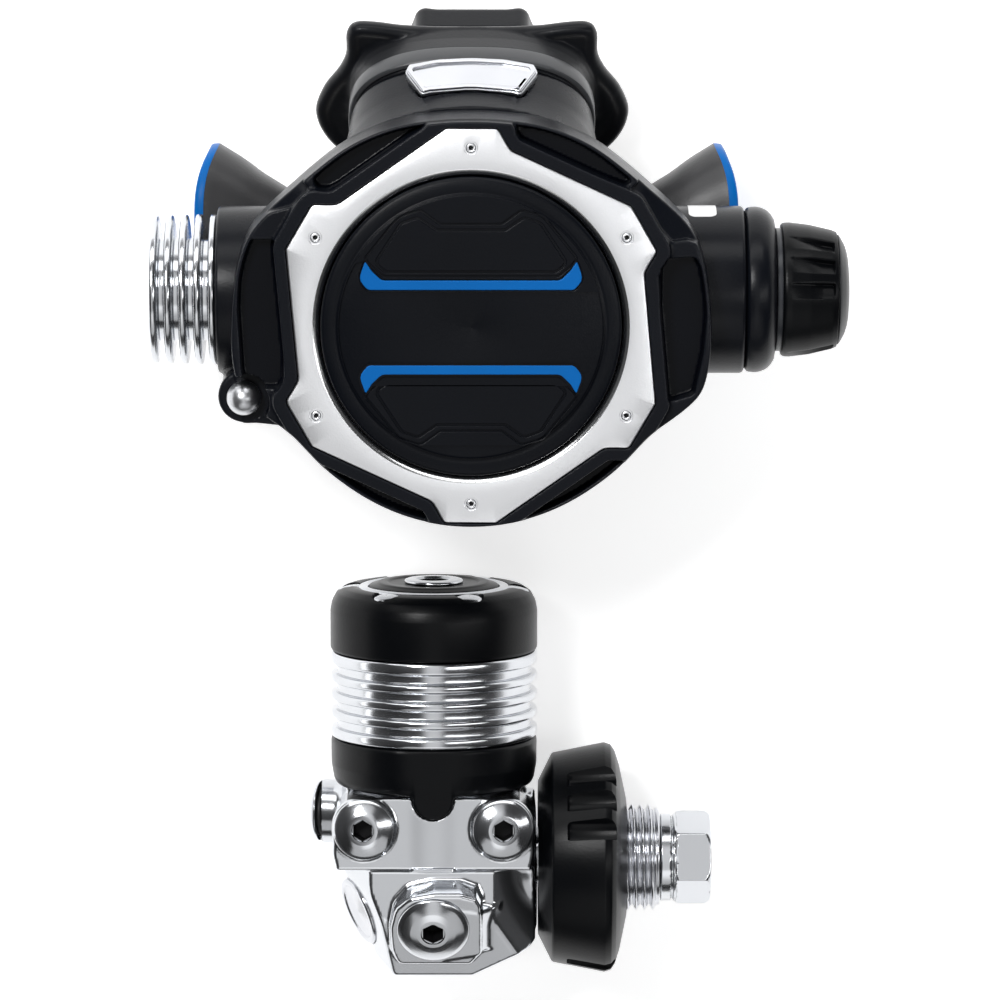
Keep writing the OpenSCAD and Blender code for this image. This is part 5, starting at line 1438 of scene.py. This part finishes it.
# ---- port plugs: domed heads with hexagon sockets
def build_plug(name, xf, reach, thread_r, big, key, deep, dome, node):
    base = reach - 2.0
    prof = [(0, reach), (key + 0.9, reach, 0.5), (big * 0.62, reach - 0.28, 1.6), (big * 0.86, reach - 0.95, 1.6), (big * 0.985, reach - 1.45, 0.4), (big, base + 0.05, 0.15), (thread_r + 1.0, base + 0.02, 0.1), (thread_r, base - 0.3, 0.1),
            (thread_r, reach - deep + 0.5, 0.4), (thread_r - 0.6, reach - deep, 0.1), (0, reach - deep)]
    ob = lathe(name, prof, xf, "first_stage", ["chrome", "socket"], 96, 0.2, 4, (node,), 40)
    boolean(ob, [cyl_cutter(key, reach - 4.5, reach + 1, xf, 6, rot=math.pi / 6), cyl_cutter(key * 0.98, reach - 0.35, reach + 0.3, xf, 48, r1=key * 1.10)])
    resharpen(ob, 30)
    paint_socket_shade(ob, xf, key * 1.02, reach - 4.7, reach - 0.36)
    return ob


for k_ in range(3):
    build_plug("low_port_plug_%d" % (k_ + 1), FS @ lp_in(k_), LP[k_][3] + 2.02, 4.21, 6.6, 2.3, 11.4, 1.0, "low_port_plugs")
for k_, a_ in enumerate((0, 180)):
    build_plug("high_port_plug_%d" % (k_ + 1), FS @ hp_in(a_), HP_REACH + 2.03, 4.91, 7.8, 2.5, 11.4, 1.0, "high_port_plugs")

# ---- round badge plate on the chamfer: plain, with a raised rim
lathe("side_badge_plate", [(0, 0.18), (5.9, 0.18, 0.2), (6.15, 0.52, 0.25), (7.2, 0.55, 0.3), (7.58, 0.2, 0.15), (7.58, -0.98, 0.1), (0, -0.98)], FS @ BADGE_F[0], "first_stage", "chrome2", 96, 0.2, 4, ("side_badge",), 40)


# ---- handwheel
def build_wheel():
    prof = [(15.65, 22.45, 0.2), (16.6, 22.45, 0.4), (22.6, 25.45, 0.9), (24.86, 36.7, 0.8), (24.4, 38.1, 0.5), (23.0, 39.05, 0.4), (20.0, 40.0, 1.0), (12.6, 41.55, 0.5), (11.65, 41.4, 0.2), (11.6, 33.45, 0.1), (16.1, 33.45, 0.1), (16.1, 25.45, 0.1), (15.65, 25.45, 0.1)]
    ob = lathe("handwheel_grip", prof, DIN, "handwheel", "rubber", 192, 0.2, 5, ("handwheel",), 40)
    cs = []
    for g in range(3):
        for k in (-1, 0, 1):
            # the cut: steep on one side, running out on the other
            a = math.radians(111.2 + 120 * g + 16 * k)
            xf = DIN @ Matrix.Rotation(a, 4, "Z")
            sec = rounded([(27.2, 1.75, 0.2), (23.95, 1.6, 0.2), (22.5, 1.2, 0.35), (22.5, -0.9, 0.7), (23.3, -2.2, 0.6), (27.2, -4.4, 0.2)], 0.3, 3)
            z0, z1 = 28.6, 39.6
            rows = []
            for zz, dr in ((z0, 0.9), (z0 + 0.5, 0.25), (z0 + 1.2, 0.0), (z1 - 0.8, 0.0), (z1 - 0.3, 0.15), (z1, 0.6)):
                shift = np.interp(zz, [22.4 + 3.1, 22.4 + 14.6], [-1.15, 0.0])
                rows.append([(p[0] + shift + dr, p[1], zz) for p in sec])
            v, f = loft_mesh(rows)
            cs.append(cutter(v, f, xf))
    boolean(ob, cs)
    resharpen(ob, 30)


build_wheel()

# ---- threaded sleeve, connector with its hexagon nose
thread("din_thread", 11.45, 1.12, 1.814, 35.6, 48.6, 6.6, DIN, "handwheel", "chrome2", ("din_thread_sleeve",), 144,
       [(10.2, 48.6), (6.62, 48.6), (6.62, 30.75), (15.9, 30.75), (15.9, 33.25), (11.1, 33.3), (11.1, 35.5)], per=14, lead=1.2)


def f_nose(P):
    r = length(P[:, 0], P[:, 1])
    z = P[:, 2]
    neck = np.minimum(smax(sd_cyl(P, 9.45, 48.85, 52.3, 0.3), -(np.maximum(np.abs(z - 51.35) - 0.25, 8.9 - r)), 0.15), np.minimum(sd_cyl(P, 6.5, 20.5, 50.5), sd_cyl(P, 8.0, 14.1, 21.7, 0.4)))
    ang = math.radians(49.4)
    hexd = np.full(len(P), -1e9)
    for k in range(6):
        t = ang + math.radians(30 + 60 * k)
        hexd = np.maximum(hexd, P[:, 0] * math.cos(t) + P[:, 1] * math.sin(t) - 10.05 * math.cos(math.radians(30)))
    hexd = hexd
    hx = smax(hexd, np.maximum(52.0 - z, z - 59.68), 0.35)
    cone = (r - (9.15 + (59.7 - z) * 0.9)) / 1.3
    hx = smax(hx, cone, 0.25)
    cone2 = (r - (9.3 + (z - 51.9) * 1.4)) / 1.7
    hx = smax(hx, cone2, 0.25)
    d = np.minimum(neck, hx)
    cuts = np.minimum.reduce([sd_cyl(P, 3.0, 10, 55), sd_cyl(P, 4.2, 52, 70), np.maximum(np.abs(r - 7.0) - 1.2, 58.5 - z)])
    return smax(d, -cuts, 0.25)


solid("din_connector_body", f_nose, (-10.6, -10.6, 13.4), (10.6, 10.6, 60.3), 0.36, DIN, "first_stage", "chrome", ("din_connector",), decimate=0.5)


# ================================================================== carried-over parts: materials
SLOTS = {
    "purge_spring": "steel", "diaphragm_cover": "case", "diaphragm_membrane": "silicone", "diaphragm_plate": "chrome2", "demand_lever": "steel",
    "valve_barrel": "chrome2", "inlet_orifice": "brass", "demand_poppet": "poppet", "poppet_seat": "seal", "poppet_spring": "steel",
    "spring_adjuster": "brass", "adjuster_o_ring": "seal", "venturi_vane": "case", "exhaust_valve": "silicone", "second_stage_o_rings": "seal",
    "main_spring": "steel", "spring_pad": "brass", "inlet_diaphragm": "seal", "thrust_pin": "brass", "crown_orifice": "brass", "inlet_poppet": "poppet",
    "return_spring": "steel", "port_plug_o_rings": "seal", "wheel_clip": "steel", "din_o_ring": "seal", "inlet_filter": "bronze",
}
for node, ob in NODES.items():
    if node in SLOTS:
        ob.data.materials.clear()
        ob.data.materials.append(M[SLOTS[node]])


# ================================================================== spring copies named after their joints; a spring shared by two joints is cut in two
def live_spring(node, joint, fixed, cut=None):
    me = NODES[node].data.copy()
    if cut is not None:
        bm = bmesh.new()
        bm.from_mesh(me)
        bmesh.ops.bisect_plane(bm, geom=bm.verts[:] + bm.edges[:] + bm.faces[:], plane_co=fixed, plane_no=cut, clear_inner=True)
        bmesh.ops.holes_fill(bm, edges=[e for e in bm.edges if e.is_boundary])
        bm.to_mesh(me)
        bm.free()
    ob = bpy.data.objects.new(node + "_" + joint, me)
    bpy.context.scene.collection.objects.link(ob)
    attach(ob, "second_stage")
    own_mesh(ob)
    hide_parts(node)
    return ob


lo_s, hi_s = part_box("purge_spring")
live_spring("purge_spring", "purge_push", (0, 0, lo_s.z))
lo_s, hi_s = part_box("poppet_spring")
mid_s = ((lo_s.x + hi_s.x) / 2, (lo_s.y + hi_s.y) / 2, (lo_s.z + hi_s.z) / 2)
live_spring("poppet_spring", "poppet_slide", mid_s, (-1, 0, 0))
live_spring("poppet_spring", "adjuster_slide", mid_s, (1, 0, 0))

# ================================================================== camera, light, floor
scene = bpy.context.scene
TAU = math.radians(9.6)
cam_data = bpy.data.cameras.new("camera")
cam_data.lens = 201.74
cam_data.sensor_width = 36
cam_data.sensor_fit = "HORIZONTAL"
cam_data.clip_end = 10
cam = bpy.data.objects.new("camera", cam_data)
scene.collection.objects.link(cam)
back = Vector((0, math.sin(TAU), math.cos(TAU)))
up = Vector((0, math.cos(TAU), -math.sin(TAU)))
right = Vector((1, 0, 0))
cam.matrix_world = Matrix(((right.x, up.x, back.x, 0.00001), (right.y, up.y, back.y, 0.199455), (right.z, up.z, back.z, 1.2082), (0, 0, 0, 1)))
scene.camera = cam

floor_me = bpy.data.meshes.new("floor")
floor_me.from_pydata([(-3, -3, -0.0004), (3, -3, -0.0004), (3, 3, -0.0004), (-3, 3, -0.0004)], [], [(0, 1, 2, 3)])
floor = bpy.data.objects.new("floor", floor_me)
scene.collection.objects.link(floor)
fm, N, L = new_mat("floor_paper")
o = N.new("ShaderNodeOutputMaterial"); b = N.new("ShaderNodeBsdfPrincipled")
b.inputs["Base Color"].default_value = (0.92, 0.92, 0.92, 1)
b.inputs["Roughness"].default_value = 0.9
b.inputs["Specular IOR Level"].default_value = 0.1
b.inputs["Emission Color"].default_value = (1, 1, 1, 1)
b.inputs["Emission Strength"].default_value = 0.60
L.new(b.outputs[0], o.inputs[0])
floor_me.materials.append(fm)


def area(name, loc, target, sx, sy, power, color=(1, 1, 1)):
    d = bpy.data.lights.new(name, "AREA")
    d.shape = "RECTANGLE"
    d.size, d.size_y = sx, sy
    d.energy = power
    d.color = color
    ob = bpy.data.objects.new(name, d)
    scene.collection.objects.link(ob)
    ob.location = loc
    ob.rotation_euler = (Vector(target) - Vector(loc)).to_track_quat("-Z", "Y").to_euler()
    return ob


key = area("key", (-0.10, 0.95, 0.50), (0, 0.0, 0.03), 1.5, 0.40, 5.5)
fill = area("fill", (0.66, 0.05, 0.93), (0, 0, 0.03), 0.17, 0.9, 2.0)
low = area("low", (0.05, -0.80, 0.80), (0, 0, 0.03), 1.3, 0.80, 2.0)
side = area("side", (-1.10, -0.05, 0.16), (0, 0, 0.03), 0.9, 0.16, 0.8)
spot = area("spot", (-0.38, 0.52, 1.05), (0, 0, 0.03), 0.28, 0.28, 7.0)

world = bpy.data.worlds.new("studio")
scene.world = world
world.use_nodes = True
wn, wl = world.node_tree.nodes, world.node_tree.links
wn.clear()
wo = wn.new("ShaderNodeOutputWorld")
bg = wn.new("ShaderNodeBackground")
tc = wn.new("ShaderNodeTexCoord")
sep = wn.new("ShaderNodeSeparateXYZ")
ramp = wn.new("ShaderNodeValToRGB")
mr = wn.new("ShaderNodeMapRange")
wl.new(tc.outputs["Generated"], sep.inputs[0])
wl.new(sep.outputs["Z"], mr.inputs["Value"])
mr.inputs["From Min"].default_value = -1
mr.inputs["From Max"].default_value = 1
wl.new(mr.outputs[0], ramp.inputs[0])
el = ramp.color_ramp.elements
el[0].position = 0.50; el[0].color = (0.78, 0.78, 0.78, 1)
el[1].position = 1.0; el[1].color = (0.09, 0.09, 0.092, 1)
for pos, val in ((0.555, 0.42), (0.61, 0.10), (0.85, 0.05)):
    e = ramp.color_ramp.elements.new(pos); e.color = (val, val, val * 1.02, 1)
# a long soft box overhead, along the set
strip = wn.new("ShaderNodeMapRange"); strip.interpolation_type = "SMOOTHSTEP"
ab = wn.new("ShaderNodeMath"); ab.operation = "ABSOLUTE"
wl.new(sep.outputs["X"], ab.inputs[0]); wl.new(ab.outputs[0], strip.inputs["Value"])
strip.inputs["From Min"].default_value = 0.09; strip.inputs["From Max"].default_value = 0.26
strip.inputs["To Min"].default_value = 0.84; strip.inputs["To Max"].default_value = 0.0
over = wn.new("ShaderNodeMapRange"); over.interpolation_type = "SMOOTHSTEP"
wl.new(sep.outputs["Z"], over.inputs["Value"])
over.inputs["From Min"].default_value = 0.55; over.inputs["From Max"].default_value = 0.85
mul = wn.new("ShaderNodeMath"); mul.operation = "MULTIPLY"
wl.new(strip.outputs[0], mul.inputs[0]); wl.new(over.outputs[0], mul.inputs[1])
mixw = wn.new("ShaderNodeMix"); mixw.data_type = "RGBA"; mixw.blend_type = "ADD"
mixw.inputs[0].default_value = 1.0
# the side towards the viewer's feet is darker near the floor
dim = wn.new("ShaderNodeMapRange"); dim.interpolation_type = "SMOOTHSTEP"
wl.new(sep.outputs["Y"], dim.inputs["Value"])
dim.inputs["From Min"].default_value = -0.8; dim.inputs["From Max"].default_value = 0.1
dim.inputs["To Min"].default_value = 0.30; dim.inputs["To Max"].default_value = 1.0
dimmed = wn.new("ShaderNodeMix"); dimmed.data_type = "RGBA"; dimmed.blend_type = "MULTIPLY"
dimmed.inputs[0].default_value = 1.0
wl.new(ramp.outputs[0], dimmed.inputs[6]); wl.new(dim.outputs[0], dimmed.inputs[7])
wl.new(dimmed.outputs[2], mixw.inputs[6]); wl.new(mul.outputs[0], mixw.inputs[7])
wl.new(mixw.outputs[2], bg.inputs["Color"])
bg.inputs["Strength"].default_value = 0.9
wl.new(bg.outputs[0], wo.inputs[0])
scene.view_settings.view_transform = "Standard"
scene.view_settings.look = "None"
